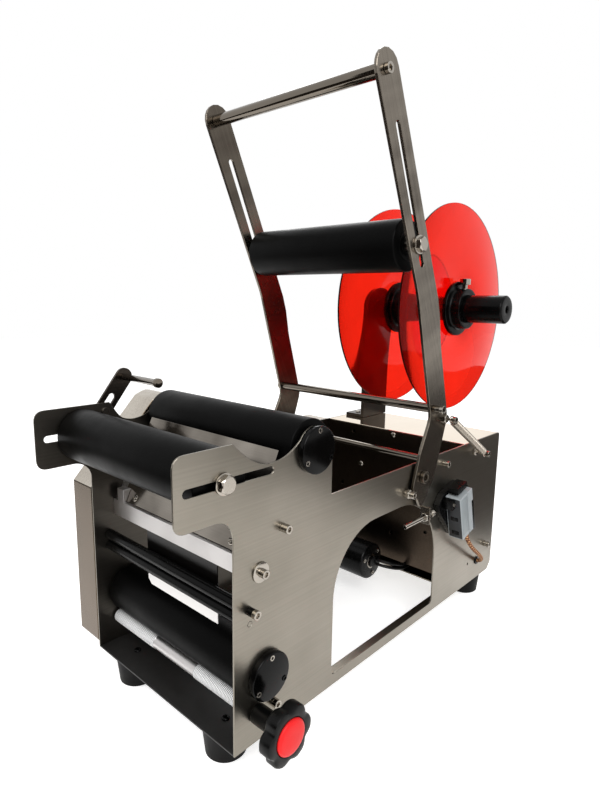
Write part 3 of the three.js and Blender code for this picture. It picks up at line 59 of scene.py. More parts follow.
# Sizes are in millimetres from the near side plate's outer face at its lower front corner: X runs to the
# rear, Y to the far plate and Z up. MIDDLE is the point of the machine that lies at the scene's origin.
MIDDLE = Vector((310.875, 126.875, -33))
CORNER = (0, 0, 0)
FAR_FACE = 260
PANEL_HEIGHT = 232


def at(x, y, z):
    return (Vector((x, y, z)) - MIDDLE) / 1000


def around(axis, reach, degrees):
    """The axis at a distance and an angle from another one."""
    angle = math.radians(degrees)
    return axis[0] + reach * math.cos(angle), axis[1] + reach * math.sin(angle)


def on_axis(axis, y):
    return axis[0], y, axis[1]


# Axes along Y, as X and Z
BOSS = (108.4, 287.1)
TRACTION = (42.9, 68.2)
PINCH = around(TRACTION, 37.4, 246.8)
UPPER_GUIDE = (18.9, 146.2)
LOWER_GUIDE = (20, 132)
WELL_GUIDE = (381.7, 216.2)
PEEL_BAR = (33.4, 180.4)
EAR = (-10.3, 278)
PRESS = (278.11, 501.2)
HANDLE = (200.5, 667.5)
LOWER_ROD = (333.6, 300.5)
PIVOT = (315.7, 212.9)
STOP_PIVOT = (21.2, 301)
STOP_ROD = around(STOP_PIVOT, 48.7, 52.3)
STOP_STUD = (288, 195.5)
ARM_STUD = (364, 283.2)
PLATE_STUD = (473.6, 216.5)
MOTOR = (389.5, 28.5)
REEL = (525, 426)
LEAD_HOLE = (507.7, 30.3)


# Camera at the photograph's angle
def add_camera():
    camera = bpy.data.objects.new("Camera", bpy.data.cameras.new("Camera"))
    bpy.context.scene.collection.objects.link(camera)
    camera.location = at(-315.75, -368.62, 436.05)
    camera.rotation_euler = [math.radians(angle) for angle in (80.0478, -0.8523, -47.2861)]
    camera.data.sensor_fit = "VERTICAL"
    camera.data.sensor_height = 36
    camera.data.lens = 36 * 570.54 / 800
    camera.data.clip_start = 0.01
    bpy.context.scene.camera = camera


add_camera()


# Materials
# Colour sockets of a Mix node, whose names repeat those of its number sockets
COLOR_A, COLOR_B, COLOR_OUT = 6, 7, 2


def linear(color):
    channels = [int(color[i:i + 2], 16) / 255 for i in (1, 3, 5)]
    return [c / 12.92 if c <= 0.04045 else ((c + 0.055) / 1.055) ** 2.4 for c in channels] + [1]


def add(material, kind, links=(), values=(), **settings):
    """Add a node. Settings are its properties or its sockets' values by name, links are (socket, output),
    and values are (socket number, value)."""
    tree = material.node_tree
    node = tree.nodes.new(kind)
    for name, value in settings.items():
        if hasattr(node, name):
            setattr(node, name, value)
        else:
            node.inputs[name.replace("_", " ")].default_value = value
    for number, value in values:
        node.inputs[number].default_value = value
    for socket, output in links:
        tree.links.new(output, node.inputs[socket])
    return node


def link(material, output, shader, socket):
    material.node_tree.links.new(output, shader.inputs[socket])


def finish(name, slot, color, roughness, metallic=0, **sockets):
    """A plain finish and its shader. Its slot argument is not used."""
    material = bpy.data.materials.new(name)
    material.use_nodes = True
    shader = material.node_tree.nodes["Principled BSDF"]
    shader.inputs["Base Color"].default_value = linear(color)
    shader.inputs["Roughness"].default_value = roughness
    shader.inputs["Metallic"].default_value = metallic
    for socket, value in sockets.items():
        shader.inputs[socket.replace("_", " ")].default_value = value
    return material, shader


def brushed_steel(name, slot, dark, light, roughness, lean=0, grain=(3, 480, 480), lines=0.35,
                  patch=(9, 9, 9)):
    """Stainless sheet brushed with a 180 grit belt: fine parallel lines, drawn about 2 mm apart to show.
    The lines catch the light along their length, and large soft patches come from the rolling; stretched
    along a bar, the patches lie as bands across it that are painted reflections.
    Grain and patch are noise cells to a metre along X, Y and Z, and lean turns them for a sloping bar."""
    material, shader = finish(name, slot, light, roughness, 1)
    spots = add(material, "ShaderNodeTexCoord").outputs["Object"]
    leaning = add(material, "ShaderNodeMapping", [("Vector", spots)], Rotation=(0, math.radians(lean), 0))
    drawn = add(material, "ShaderNodeMapping", [("Vector", leaning.outputs[0])], Scale=grain)
    scratches = add(material, "ShaderNodeTexNoise", [("Vector", drawn.outputs[0])],
                    Scale=1, Detail=1, Roughness=0.5)
    patch_cells = add(material, "ShaderNodeMapping", [("Vector", leaning.outputs[0])], Scale=patch)
    patches = add(material, "ShaderNodeTexNoise", [("Vector", patch_cells.outputs[0])],
                  Scale=1, Detail=3, Roughness=0.5)
    mix = add(material, "ShaderNodeMath", [(0, scratches.outputs[0]), (2, patches.outputs[0])],
              [(1, lines)], operation="MULTIPLY_ADD")
    low, high = 0.5 + 0.5 * lines - 0.26, 0.5 + 0.5 * lines + 0.26
    tone = add(material, "ShaderNodeMapRange", [("Value", mix.outputs[0])], From_Min=low, From_Max=high)
    shade = add(material, "ShaderNodeMix", [("Factor", tone.outputs[0])],
                [(COLOR_A, linear(dark)), (COLOR_B, linear(light))], data_type="RGBA")
    link(material, shade.outputs[COLOR_OUT], shader, "Base Color")
    rough = add(material, "ShaderNodeMapRange", [("Value", mix.outputs[0])], From_Min=low, From_Max=high,
                To_Min=roughness * 1.08, To_Max=roughness * 0.92)
    link(material, rough.outputs[0], shader, "Roughness")
    bump = add(material, "ShaderNodeBump", [("Height", scratches.outputs[0])],
               Strength=0.1 * lines, Distance=0.000006)
    link(material, bump.outputs[0], shader, "Normal")
    return material


def fine_surface(name, slot, color, roughness, metallic, scale, height, spread=0.08, **sockets):
    """A moulded, ground or coated surface: an even grain of the given scale and height in metres, and a
    little wear that dulls it and darkens it in patches."""
    material, shader = finish(name, slot, color, roughness, metallic, **sockets)
    spots = add(material, "ShaderNodeTexCoord").outputs["Object"]
    grain = add(material, "ShaderNodeTexNoise", [("Vector", spots)], Scale=scale, Detail=4, Roughness=0.6)
    wear = add(material, "ShaderNodeTexNoise", [("Vector", spots)], Scale=22, Detail=5, Roughness=0.65)
    rough = add(material, "ShaderNodeMapRange", [("Value", wear.outputs[0])], From_Min=0.35, From_Max=0.65,
                To_Min=roughness - spread, To_Max=roughness + spread)
    link(material, rough.outputs[0], shader, "Roughness")
    worn = [0.86 * c for c in linear(color)[:3]] + [1]
    fresh = [min(1, 1.14 * c) for c in linear(color)[:3]] + [1]
    shade = add(material, "ShaderNodeMix", [("Factor", wear.outputs[0])],
                [(COLOR_A, worn), (COLOR_B, fresh)], data_type="RGBA")
    link(material, shade.outputs[COLOR_OUT], shader, "Base Color")
    bump = add(material, "ShaderNodeBump", [("Height", grain.outputs[0])], Strength=0.5, Distance=height)
    link(material, bump.outputs[0], shader, "Normal")
    return material


def knurled_aluminium(axis):
    """Turned aluminium with a diamond knurl: two sets of grooves wind around the roller and cross. Their
    peaks are pale as painted highlight, and the dark between them is painted shade. They are drawn as
    coarse as they need to show."""
    grooves_around, groove_pitch = 20, 0.0042
    material, shader = finish("Knurled aluminium", "aluminium", "#dedddb", 0.55, 0.1)
    spots = add(material, "ShaderNodeTexCoord").outputs["Object"]
    middle = at(*on_axis(axis, 0))
    centred = add(material, "ShaderNodeVectorMath", [(0, spots)], [(1, (middle.x, 0, middle.z))],
                  operation="SUBTRACT")
    parts = add(material, "ShaderNodeSeparateXYZ", [("Vector", centred.outputs[0])]).outputs
    turn = add(material, "ShaderNodeMath", [(0, parts["Z"]), (1, parts["X"])], operation="ARCTAN2")
    run = add(material, "ShaderNodeMath", [(0, parts["Y"])], [(1, 2 * math.pi / groove_pitch)],
              operation="MULTIPLY")
    grooves = []
    for hand in (grooves_around, -grooves_around):
        winding = add(material, "ShaderNodeMath", [(0, turn.outputs[0]), (2, run.outputs[0])], [(1, hand)],
                      operation="MULTIPLY_ADD")
        grooves.append(add(material, "ShaderNodeMath", [(0, winding.outputs[0])], operation="SINE"))
    crossed = add(material, "ShaderNodeMath", [(0, grooves[0].outputs[0]), (1, grooves[1].outputs[0])],
                  operation="MULTIPLY")
    bump = add(material, "ShaderNodeBump", [("Height", crossed.outputs[0])], Strength=0.9, Distance=0.0003)
    link(material, bump.outputs[0], shader, "Normal")
    # Painted light and shade: white on the knurl's peaks, dark down in its grooves
    peak_light_groove_shade = add(material, "ShaderNodeMapRange", [("Value", crossed.outputs[0])], From_Min=-0.5, From_Max=0.3)
    shade = add(material, "ShaderNodeMix", [("Factor", peak_light_groove_shade.outputs[0])],
                [(COLOR_A, linear("#5c5c5b")), (COLOR_B, linear("#ffffff"))], data_type="RGBA")
    link(material, shade.outputs[COLOR_OUT], shader, "Base Color")
    return material


def braided_sleeve():
    """Braided lead: tan and rust threads about 2 mm wide, crossing each other along the lead."""
    material, shader = finish("Braided sleeve", "tan_sleeve", "#b26a3c", 0.8)
    spots = add(material, "ShaderNodeTexCoord").outputs["Object"]
    threads = []
    for lean in (8, 98):
        wide = add(material, "ShaderNodeMapping", [("Vector", spots)], Rotation=(0, math.radians(lean), 0))
        threads.append(add(material, "ShaderNodeTexWave", [("Vector", wide.outputs[0])], Scale=70))
    weave = add(material, "ShaderNodeMath", [(0, threads[0].outputs[1]), (1, threads[1].outputs[1])],
                operation="MULTIPLY")
    shade = add(material, "ShaderNodeMix", [("Factor", weave.outputs[0])],
                [(COLOR_A, linear("#5f2c12")), (COLOR_B, linear("#f0b982"))], data_type="RGBA")
    link(material, shade.outputs[COLOR_OUT], shader, "Base Color")
    bump = add(material, "ShaderNodeBump", [("Height", weave.outputs[0])], Strength=0.8, Distance=0.0004)
    link(material, bump.outputs[0], shader, "Normal")
    return material


def painted_shade_guide():
    """Guide plate dark above as painted shade, down to its lip, which is pale as a painted reflection."""
    # Dark tone above the lip: painted shade; the pale colour on the lip below is a painted reflection
    black = "#12100f"
    material, shader = finish("Guide plate, painted shade and reflection", "pale_steel", black, 0.3, 0.6)
    spots = add(material, "ShaderNodeTexCoord").outputs["Object"]
    height = add(material, "ShaderNodeSeparateXYZ", [("Vector", spots)]).outputs["Z"]
    lip_reflection = add(material, "ShaderNodeMapRange", [("Value", height)],
               From_Min=at(0, 0, 121.6).z, From_Max=at(0, 0, 120.4).z)
    shade = add(material, "ShaderNodeMix", [("Factor", lip_reflection.outputs[0])],
                [(COLOR_A, linear(black)), (COLOR_B, linear("#d6d4d2"))], data_type="RGBA")
    link(material, shade.outputs[COLOR_OUT], shader, "Base Color")
    return material


# Brushed stainless: a warm grey with a soft sheen. Inner and far faces get darker copies as painted shade,
# and the arms are brushed along their slope
ARM_GRAIN = (620, 620, 5)
plate_steel = brushed_steel("Brushed stainless plate", "brushed_steel", "#7e796f", "#918b81", 0.3)
inner_painted_shade = brushed_steel("Inner face, painted shade", "brushed_steel", "#1d1916", "#2c2723", 0.3)
far_steel = brushed_steel("Shaded far plate face", "brushed_steel", "#433f3a", "#57534d", 0.36,
                          lines=0.3, patch=(6, 6, 6))
# The arms' patch cells are stretched so that they lie as bands across the arm: painted reflections
arm_steel = brushed_steel("Brushed stainless arm", "brushed_steel", "#544d45", "#8b8378", 0.26,
                          lean=24, grain=ARM_GRAIN, patch=(3, 3, 24))
# A darker copy of the stainless for the bottle stop arm and the reel post: painted shade
shaded_stainless = brushed_steel("Stainless, painted shade", "brushed_steel", "#2c2723", "#47413b", 0.3,
                           lines=0.3, patch=(14, 14, 14))
far_arm_steel = brushed_steel("Shaded far arm face", "brushed_steel", "#403933", "#6b645a", 0.28,
                              lean=24, grain=ARM_GRAIN, patch=(3, 3, 20))
# Far cover: upward faces lighter as painted light, the other faces darker as painted shade
painted_light_slope = brushed_steel("Cover slope, painted light", "brushed_steel", "#a39b90", "#c8c1b6", 0.26)
painted_shade_cover = brushed_steel("Stainless cover, painted shade", "brushed_steel", "#4f4538", "#64574a", 0.26,
                            patch=(5, 5, 5))
# The control box's front panel is pale steel made dark: painted shade
painted_shade_panel = brushed_steel("Satin panel, painted shade", "pale_steel", "#393129", "#54493f", 0.3)

# Polished sheet: mirrors the room, with the lines only just there
# The box top is really polished; its cream tone, lighter than the box's sides, is a painted reflection
top_painted_reflection = brushed_steel("Polished box top, painted reflection", "brushed_steel", "#f3e2cb", "#fff0dc", 0.06, lines=0.05)
peel_steel = brushed_steel("Polished peel plate", "pale_steel", "#47423c", "#aaa39a", 0.13,
                           grain=(620, 5, 620), lines=0.06, patch=(10, 10, 10))

# Ground rods, plated screws and drawn wire: small sharp highlights between dark streaks
rod_chrome = fine_surface("Ground bright rod", "pale_steel", "#726b62", 0.09, 1, 900, 0.00001, 0.04)
screw_zinc = fine_surface("Bright zinc screw", "zinc_steel", "#a29c93", 0.13, 1, 700, 0.00001, 0.06)
pivot_zinc = fine_surface("Dulled zinc pivot", "zinc_steel", "#5f584f", 0.32, 1, 700, 0.00001, 0.06)
spring_wire = fine_surface("Spring wire", "zinc_steel", "#a59d92", 0.2, 1, 900, 0.00001)

# Milled aluminium: paler and duller than the steel
bar_aluminium = fine_surface("Milled aluminium", "aluminium", "#cfcccb", 0.42, 1, 500, 0.00002)

# Rubber: black with a broad weak highlight, duller on the feet and belts than on the ground rollers
sleeve_rubber = fine_surface("Black roller rubber", "black_rubber", "#030303", 0.42, 0, 1400, 0.00003,
                             0.06, Specular_IOR_Level=0.05)
foot_rubber = fine_surface("Black foot rubber", "black_rubber", "#0a0909", 0.6, 0, 900, 0.00004,
                           Specular_IOR_Level=0.12)
belt_rubber = fine_surface("Toothed belt rubber", "black_rubber", "#1a1918", 0.7, 0, 900, 0.00004)
lead_black = fine_surface("Lead sheath", "black_rubber", "#0a0a0a", 0.4, 0, 900, 0.00001,
                          Specular_IOR_Level=0.25)

# Oxide, enamel and turned or moulded black plastic: as dark as the rubber, with narrower highlights
cap_black = fine_surface("Gloss black cap", "black_oxide", "#040404", 0.14, 0, 500, 0.00002, 0.05,
                         Specular_IOR_Level=0.1)
bottom_black = fine_surface("Charcoal oxide sheet", "black_oxide", "#131211", 0.5, 0, 500, 0.00002)
motor_black = fine_surface("Motor enamel", "black_oxide", "#080808", 0.3, 0, 500, 0.00002,
                           Specular_IOR_Level=0.15)
moulded_black = fine_surface("Moulded black nylon", "black_plastic", "#070707", 0.3, 0, 1300, 0.00003,
                             Specular_IOR_Level=0.14)
shaft_black = fine_surface("Satin black acetal", "black_plastic", "#040404", 0.24, 0, 800, 0.00001,
                           Specular_IOR_Level=0.1)

# Moulded plastic in plain colours, with a satin skin
cap_red = fine_surface("Red moulded cap", "red_plastic", "#ed2224", 0.42, 0, 900, 0.00002,
                       Specular_IOR_Level=0.2)
switch_grey = fine_surface("Grey switch moulding", "grey_plastic", "#a6acaf", 0.45, 0, 900, 0.00002)
switch_painted_shade = fine_surface("Switch front, painted shade", "grey_plastic", "#1d1f22", 0.5, 0, 900, 0.00002)
label_grey = fine_surface("Bare label field", "grey_plastic", "#90979a", 0.5, 0, 600, 0.00001)

# Clear red acrylic: lets the background through as red. Its index is lower than acrylic's 1.49, so that
# pale reflections don't wash the red out. The sawn edge is dull and looks dark
disc_acrylic = fine_surface("Clear red acrylic", "red_acrylic", "#ff2815", 0.05, 0, 30, 0.00001, 0.02,
                            Transmission_Weight=0.93, IOR=1.22, Specular_Tint=(1, 0.08, 0.05, 1))
edge_acrylic = fine_surface("Sawn acrylic edge", "red_acrylic", "#1c0302", 0.5, 0, 600, 0.00001,
                            Specular_IOR_Level=0.06)
sleeve = braided_sleeve()


# Making and placing pieces
def pick(piece):
    """Select a piece alone and make it the active one."""
    bpy.ops.object.select_all(action="DESELECT")
    piece.select_set(True)
    bpy.context.view_layer.objects.active = piece


def keep(piece, name, material, body, *stands_for):
    """Name a finished piece, put its place in its mesh, and let it ride on its body."""
    pick(piece)
    bpy.ops.object.transform_apply(location=True, rotation=True, scale=True)
    piece.name = name
    piece.data.name = name
    piece.data.materials.clear()
    piece.data.materials.append(material)
    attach(piece, body)
    if stands_for:
        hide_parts(*stands_for)
    return piece


def soften(piece, width, segments=2, angle=40, smooth=35):
    """Round the sharp edges by the given width in millimetres and shade the rest smooth."""
    bpy.context.view_layer.objects.active = piece
    edge = piece.modifiers.new("Edge", "BEVEL")
    edge.width = width / 1000
    edge.segments = segments
    edge.limit_method = "ANGLE"
    edge.angle_limit = math.radians(angle)
    edge.use_clamp_overlap = False
    bpy.ops.object.modifier_apply(modifier=edge.name)
    if smooth:
        bpy.ops.object.shade_smooth_by_angle(angle=math.radians(smooth))
    return piece


def turned(axis, profile, ring=False, segments=96, edge=0.4):
    """Turn a body on an axis along Y. The profile is (radius, y) pairs; a ring's closes on itself."""
    bpy.ops.object.select_all(action="DESELECT")
    radius, y = profile[0]
    bpy.ops.mesh.primitive_circle_add(vertices=segments, radius=radius / 1000, location=at(*on_axis(axis, y)),
                                      rotation=(math.radians(90), 0, 0))
    piece = bpy.context.object
    bpy.ops.object.mode_set(mode="EDIT")
    for next_radius, next_y in [*profile[1:], *profile[:1 if ring else 0]]:
        bpy.ops.mesh.extrude_edges_move(TRANSFORM_OT_translate={"value": (0, (next_y - y) / 1000, 0)})
        if next_radius != radius:
            bpy.ops.transform.resize(value=(next_radius / radius,) * 3,
                                     center_override=at(*on_axis(axis, next_y)))
        radius, y = next_radius, next_y
    bpy.ops.mesh.select_all(action="SELECT")
    bpy.ops.mesh.remove_doubles(threshold=0.000005)
    if not ring:
        bpy.ops.mesh.fill_holes(sides=0)
    bpy.ops.mesh.select_all(action="SELECT")
    bpy.ops.mesh.normals_make_consistent(inside=False)
    bpy.ops.object.mode_set(mode="OBJECT")
    bpy.ops.object.transform_apply(location=True, rotation=True, scale=True)
    return soften(piece, edge)


def press_heads(piece, point, normal, spared=None):
    """Sink the heads that stand out of a face, so that modelled screws can take their place."""
    for vertex in piece.data.vertices:
        rise = (vertex.co - at(*point)).dot(Vector(normal))
        if rise > 0.00005 and not (spared and spared(vertex.co)):
            vertex.co -= Vector(normal) * (rise - 0.0003)


def dressed(node, material, edge=0.25, smooth=0, press=()):
    """A merged copy of a CAD node with its edges broken, standing for the node."""
    source = frame["nodes"][node]
    body = source["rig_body"]
    piece = source.copy()
    piece.data = source.data.copy()
    piece.parent = None
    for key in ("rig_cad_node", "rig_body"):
        del piece[key]
    bpy.context.scene.collection.objects.link(piece)
    pick(piece)
    bpy.ops.object.mode_set(mode="EDIT")
    bpy.ops.mesh.select_all(action="SELECT")
    bpy.ops.mesh.remove_doubles(threshold=0.000004)
    bpy.ops.mesh.customdata_custom_splitnormals_clear()
    bpy.ops.mesh.dissolve_limited(angle_limit=math.radians(1))
    bpy.ops.object.mode_set(mode="OBJECT")
    if press:
        press_heads(piece, *press)
    bpy.ops.object.shade_flat()
    soften(piece, edge, 1, 40, smooth)
    return keep(piece, "dressed_" + node, material, body, node)


def second_finish(piece, material, direction):
    """Give the faces that look along a direction another finish."""
    piece.data.materials.append(material)
    for face in piece.data.polygons:
        if face.normal.dot(Vector(direction)) > 0.5:
            face.material_index = 1


def cylinder(radius, low, high, sides=40):
    """Cylinder at the plate's corner that stands along -Y, from one height to another."""
    bpy.ops.object.select_all(action="DESELECT")
    bpy.ops.mesh.primitive_cylinder_add(vertices=sides, radius=radius / 1000, depth=(high - low) / 1000,
                                        location=at(0, -(low + high) / 2, 0),
                                        rotation=(math.radians(90), 0, 0))
    return bpy.context.object


def block(low, high):
    """Box between two corners."""
    bpy.ops.object.select_all(action="DESELECT")
    middle = [(a + b) / 2 for a, b in zip(low, high)]
    bpy.ops.mesh.primitive_cube_add(size=1, location=at(*middle))
    piece = bpy.context.object
    piece.scale = [(b - a) / 1000 for a, b in zip(low, high)]
    bpy.ops.object.transform_apply(location=False, rotation=False, scale=True)
    return piece


def carved(base, tool, edge, operation="DIFFERENCE"):
    """Cut a tool out of a piece, or keep what they share, and break the edges."""
    bpy.context.view_layer.objects.active = base
    cut = base.modifiers.new("Cut", "BOOLEAN")
    cut.operation = operation
    cut.object = tool
    cut.solver = "EXACT"
    bpy.ops.object.modifier_apply(modifier=cut.name)
    bpy.data.objects.remove(tool)
    return soften(base, edge) if edge else base


def screw_model(radius, length, sides=40):
    """Socket-head screw head, its base at the plate's corner, facing -Y."""
    head = cylinder(radius, 0, length, sides)
    socket = cylinder(radius * 0.6, length - radius * 0.7, length + 1, 6)
    return carved(head, socket, radius * 0.09)


def cross_model(radius, length):
    """Pan-head screw with a cross recess, its base at the plate's corner, facing -Y."""
    head = turned((0, 0), [(radius, 0), (radius, -length * 0.45), (radius * 0.82, -length * 0.8),
                           (radius * 0.45, -length)], segments=48, edge=0.15)
    for reach, breadth in ((0.58, 0.13), (0.13, 0.58)):
        slot = block((-radius * reach, -length - 1, -radius * breadth),
                     (radius * reach, -length * 0.35, radius * breadth))
        head = carved(head, slot, 0)
    return head


def hex_model(flats, height):
    """Hexagon with its corners turned off, its base at the plate's corner, facing -Y."""
    head = cylinder(flats / math.sqrt(3), 0, height, 6)
    bpy.ops.object.select_all(action="DESELECT")
    bpy.ops.mesh.primitive_cone_add(vertices=64, radius1=flats * 0.92 / 1000, radius2=flats * 0.44 / 1000,
                                    depth=height * 1.02 / 1000, location=at(0, -height / 2, 0),
                                    rotation=(math.radians(90), 0, 0))
    return carved(head, bpy.context.object, 0.25, "INTERSECT")


def placed(piece, place, turn):
    """Turn a piece made at the plate's corner and move it to its place."""
    to_corner = Matrix.Translation(-at(*CORNER))
    piece.matrix_world = Matrix.Translation(at(*place)) @ turn @ to_corner @ piece.matrix_world
    return piece


def aimed(piece, place, direction=(0, -1, 0)):
    """Place a piece made facing -Y so that it faces a direction."""
    turn = Vector((0, -1, 0)).rotation_difference(Vector(direction)).to_matrix().to_4x4()
    return placed(piece, place, turn)


def copied(model, name, material, body, place, direction=(0, -1, 0)):
    """A copy of a screw model with its own mesh, its base at a place, facing a direction."""
    piece = model.copy()
    piece.data = model.data.copy()
    bpy.context.scene.collection.objects.link(piece)
    return keep(aimed(piece, place, direction), name, material, body)


# Plates, covers, bars and other straight pieces keep the frame's shape, with their edges broken. The plain
# screw heads on them are pressed flat
PEEL_LEAN = math.atan2(44.2, 97.5)
PEEL_FRONT = (-math.cos(PEEL_LEAN), 0, math.sin(PEEL_LEAN))
near_plate = dressed("near_side_plate", plate_steel, press=(CORNER, (0, -1, 0)))
far_plate = dressed("far_side_plate", plate_steel, press=((0, FAR_FACE, 0), (0, 1, 0)))
# Faces turned into the well take the darker copies of the stainless: painted shade
second_finish(near_plate, inner_painted_shade, (0, 1, 0))
second_finish(far_plate, far_steel, (0, -1, 0))
dressed("near_press_arm", arm_steel, 0.4, press=((0, -21, 0), (0, -1, 0)))
second_finish(dressed("far_press_arm", arm_steel, 0.4), far_arm_steel, (0, -1, 0))
dressed("bottle_stop_arm", shaded_stainless, 0.3)
second_finish(dressed("far_side_cover", painted_shade_cover, 0.5), painted_light_slope, (0, 0, 1))
second_finish(dressed("control_box_shell", plate_steel, 0.4), top_painted_reflection, (0, 0, 1))
dressed("control_box_front_panel", painted_shade_panel, 0.2, press=((444, 0, 0), (-1, 0, 0)))
dressed("reel_post", shaded_stainless, 0.4,
        press=((0, 0, 237.3), (0, 0, 1), lambda spot: spot.y < at(0, 226, 0).y))
dressed("front_bottom_plate", bottom_black, 0.3, press=((0, 0, 2), (0, 0, 1)))
dressed("power_inlet", moulded_black, 0.4)
dressed("peel_bar", bar_aluminium, 0.3)
dressed("peel_plate", peel_steel, 0.2, press=((30.8, 0, 191), PEEL_FRONT))
dressed("label_guide_plate", painted_shade_guide(), 0.2)
for node in ("motor_belt", "roller_belt"):
    dressed(node, belt_rubber, 0.1)
for node in ("motor_pulley", "traction_pulley", "top_roller_pulley"):
    dressed(node, bar_aluminium, 0.15)
dressed("near_pivot_screw", pivot_zinc, 0.25, 30, press=((0, -8, 0), (0, -1, 0)))
dressed("far_pivot_screw", screw_zinc, 0.25, 30, press=((0, 268, 0), (0, 1, 0)))
dressed("adjusting_screw", screw_zinc, 0.2, 30, press=((332, 0, 0), (1, 0, 0)))
dressed("spring_post", screw_zinc, 0.25, 30, press=((0, -21, 0), (0, -1, 0)))

# Rubber-covered rollers, on their shafts or on bores for them
for name, axis, radius in (("top_drive", BOSS, 31), ("traction", TRACTION, 28.4)):
    keep(turned(axis, [
        (8, -5), (8, 5), (radius - 1, 5), (radius, 6), (radius, 254), (radius - 1, 255), (8, 255),
        (8, 297.5)]), name + "_sleeve", sleeve_rubber, name, name + "_roller")
keep(turned(EAR, [(7.3, 5), (29.2, 5), (30, 5.8), (30, 254.2), (29.2, 255), (7.3, 255)], ring=True),
     "ear_roller_sleeve", sleeve_rubber, "ear_roller_body", "ear_roller")
keep(turned(PRESS, [
    (8.3, 8), (11, 8), (11.4, 9.5), (16.6, 9.5), (17, 8), (18.2, 8), (18.6, 8.5), (29.8, 8.5), (31, 9.7),
    (31, 250.3), (29.8, 251.5), (18.6, 251.5), (18.2, 252), (17, 252), (16.6, 250.5), (11.4, 250.5),
    (11, 252), (8.3, 252)], ring=True, edge=0.25), "press_roller_sleeve", sleeve_rubber, "press_roller_body",
    "press_roller")

# Shafts with a washer and a hexagon bolt at each end
keep(turned(EAR, [
    (10.25, -1.9), (10.25, -0.3), (3.8, -0.3), (3.8, 2.3), (7, 2.3), (7, 257.7), (3.8, 257.7), (3.8, 260.3),
    (10.25, 260.3), (10.25, 261.9)], edge=0.3), "ear_shaft", screw_zinc, "ear_carriage", "ear_roller_shaft")
keep(turned(PRESS, [
    (11, -8.4), (11, -6.8), (4, -6.8), (4, -2.2), (8, -2.2), (8, 262.2), (4, 262.2), (4, 266.8), (11, 266.8),
    (11, 268.4)], edge=0.3), "press_shaft", screw_zinc, "press_carriage", "press_roller_shaft")
hexagon = hex_model(16, 6)
for name, body, axis, near, far in (("ear_bolt", "ear_carriage", EAR, -1.9, 261.9),
                                    ("press_bolt", "press_carriage", PRESS, -8.4, 268.4)):
    copied(hexagon, name + "_near", screw_zinc, body, on_axis(axis, near))
    copied(hexagon, name + "_far", screw_zinc, body, on_axis(axis, far), (0, 1, 0))
bpy.data.objects.remove(hexagon)


# Bright rods, each turned with the socket screws that hold it between the arms
def turned_rod(name, body, node, axis, profile, material=rod_chrome):
    return keep(turned(axis, profile, segments=64, edge=0.15), name, material, body, node)


turned_rod("well_guide_rod", "machine_frame", "chrome_guide_rod", WELL_GUIDE, [
    (4, 2.3), (4.5, 2.8), (4.5, 257.2), (4, 257.7)])
for name, node, axis, radius, near_head in (("handle_bar", "handle_rod", HANDLE, 7.5, 11.8),
                                            ("lower_bar", "lower_frame_rod", LOWER_ROD, 6, 21.8)):
    turned_rod(name, "press_frame", node, axis, [
        (5, -near_head + 3.6), (5, -6.8), (2.9, -6.8), (2.9, -2.2), (radius - 0.4, -2.2), (radius, -1.8),
        (radius, 261.8), (radius - 0.4, 262.2), (2.9, 262.2), (2.9, 266.8), (5, 266.8), (5, 268.2)])
turned_rod("stop_bar", "bottle_stop", "bottle_stop_rod", STOP_ROD, [
    (5.5, 188), (5.5, 193), (4, 193), (4, 262.7), (2.4, 262.7), (2.4, 266.3), (5, 266.3), (5, 270.5)])

# Smooth black guide rollers. The upper one ends in a socket screw, and the lower one's end lies flush in
# the plate and is ground with it
GUIDE_PROFILE = [(2.6, 2.6), (5.9, 2.6), (6.3, 3), (6.3, 257), (5.9, 257.4), (2.6, 257.4), (2.6, 260)]
turned_rod("upper_guide_tube", "upper_guide", "upper_guide_roller", UPPER_GUIDE, [
    (4.2, -8.7), (4.2, -0.3), (2.6, 0), *GUIDE_PROFILE], shaft_black)
lower_guide = turned_rod("lower_guide_tube", "lower_guide", "lower_guide_roller", LOWER_GUIDE, [
    (2.6, 0), (2.6, 1), *GUIDE_PROFILE], shaft_black)
second_finish(lower_guide, plate_steel, (0, -1, 0))

# Knurled roller: the knurl runs up to a smooth middle
knurled = keep(turned(PINCH, [
    (5, -40), (5, 5), (8, 5), (8.5, 5.5), (8.5, 91.5), (8, 92), (8, 168), (8.5, 168.5), (8.5, 254.5),
    (8, 255), (5, 255), (5, 260)], segments=64, edge=0.15), "knurled_roller", knurled_aluminium(PINCH),
    "pinch", "knurled_pinch_roller")
knurled.data.materials.append(bar_aluminium)
for face in knurled.data.polygons:
    y = face.center.y * 1000 + MIDDLE.y
    grooved = abs(face.normal.y) < 0.5 and (5 < y < 91.6 or 168.4 < y < 255)
    face.material_index = 0 if grooved else 1


# Hand knob: six lobes swell between finger dips, round the hub and the red cap
def hand_knob():
    lobes, dip_depth, grip_start = 6, 0.0042, 0.022
    profile = [(10, -2), (10, -33), (27, -33), (29.5, -35.5), (29.5, -45.5), (28.6, -47.2), (27, -48),
               (19, -48), (18.4, -47.2), (18.4, -46.6)]
    piece = turned(PINCH, profile, segments=144, edge=0.3)
    hub = at(*on_axis(PINCH, 0))
    for vertex in piece.data.vertices:
        out_x, out_z = vertex.co.x - hub.x, vertex.co.z - hub.z
        reach = math.hypot(out_x, out_z)
        if reach > grip_start:
            dip = dip_depth * ((1 - math.cos(lobes * math.atan2(out_z, out_x))) / 2) ** 2
            share = 1 - dip / reach
            vertex.co.x, vertex.co.z = hub.x + out_x * share, hub.z + out_z * share
    return piece


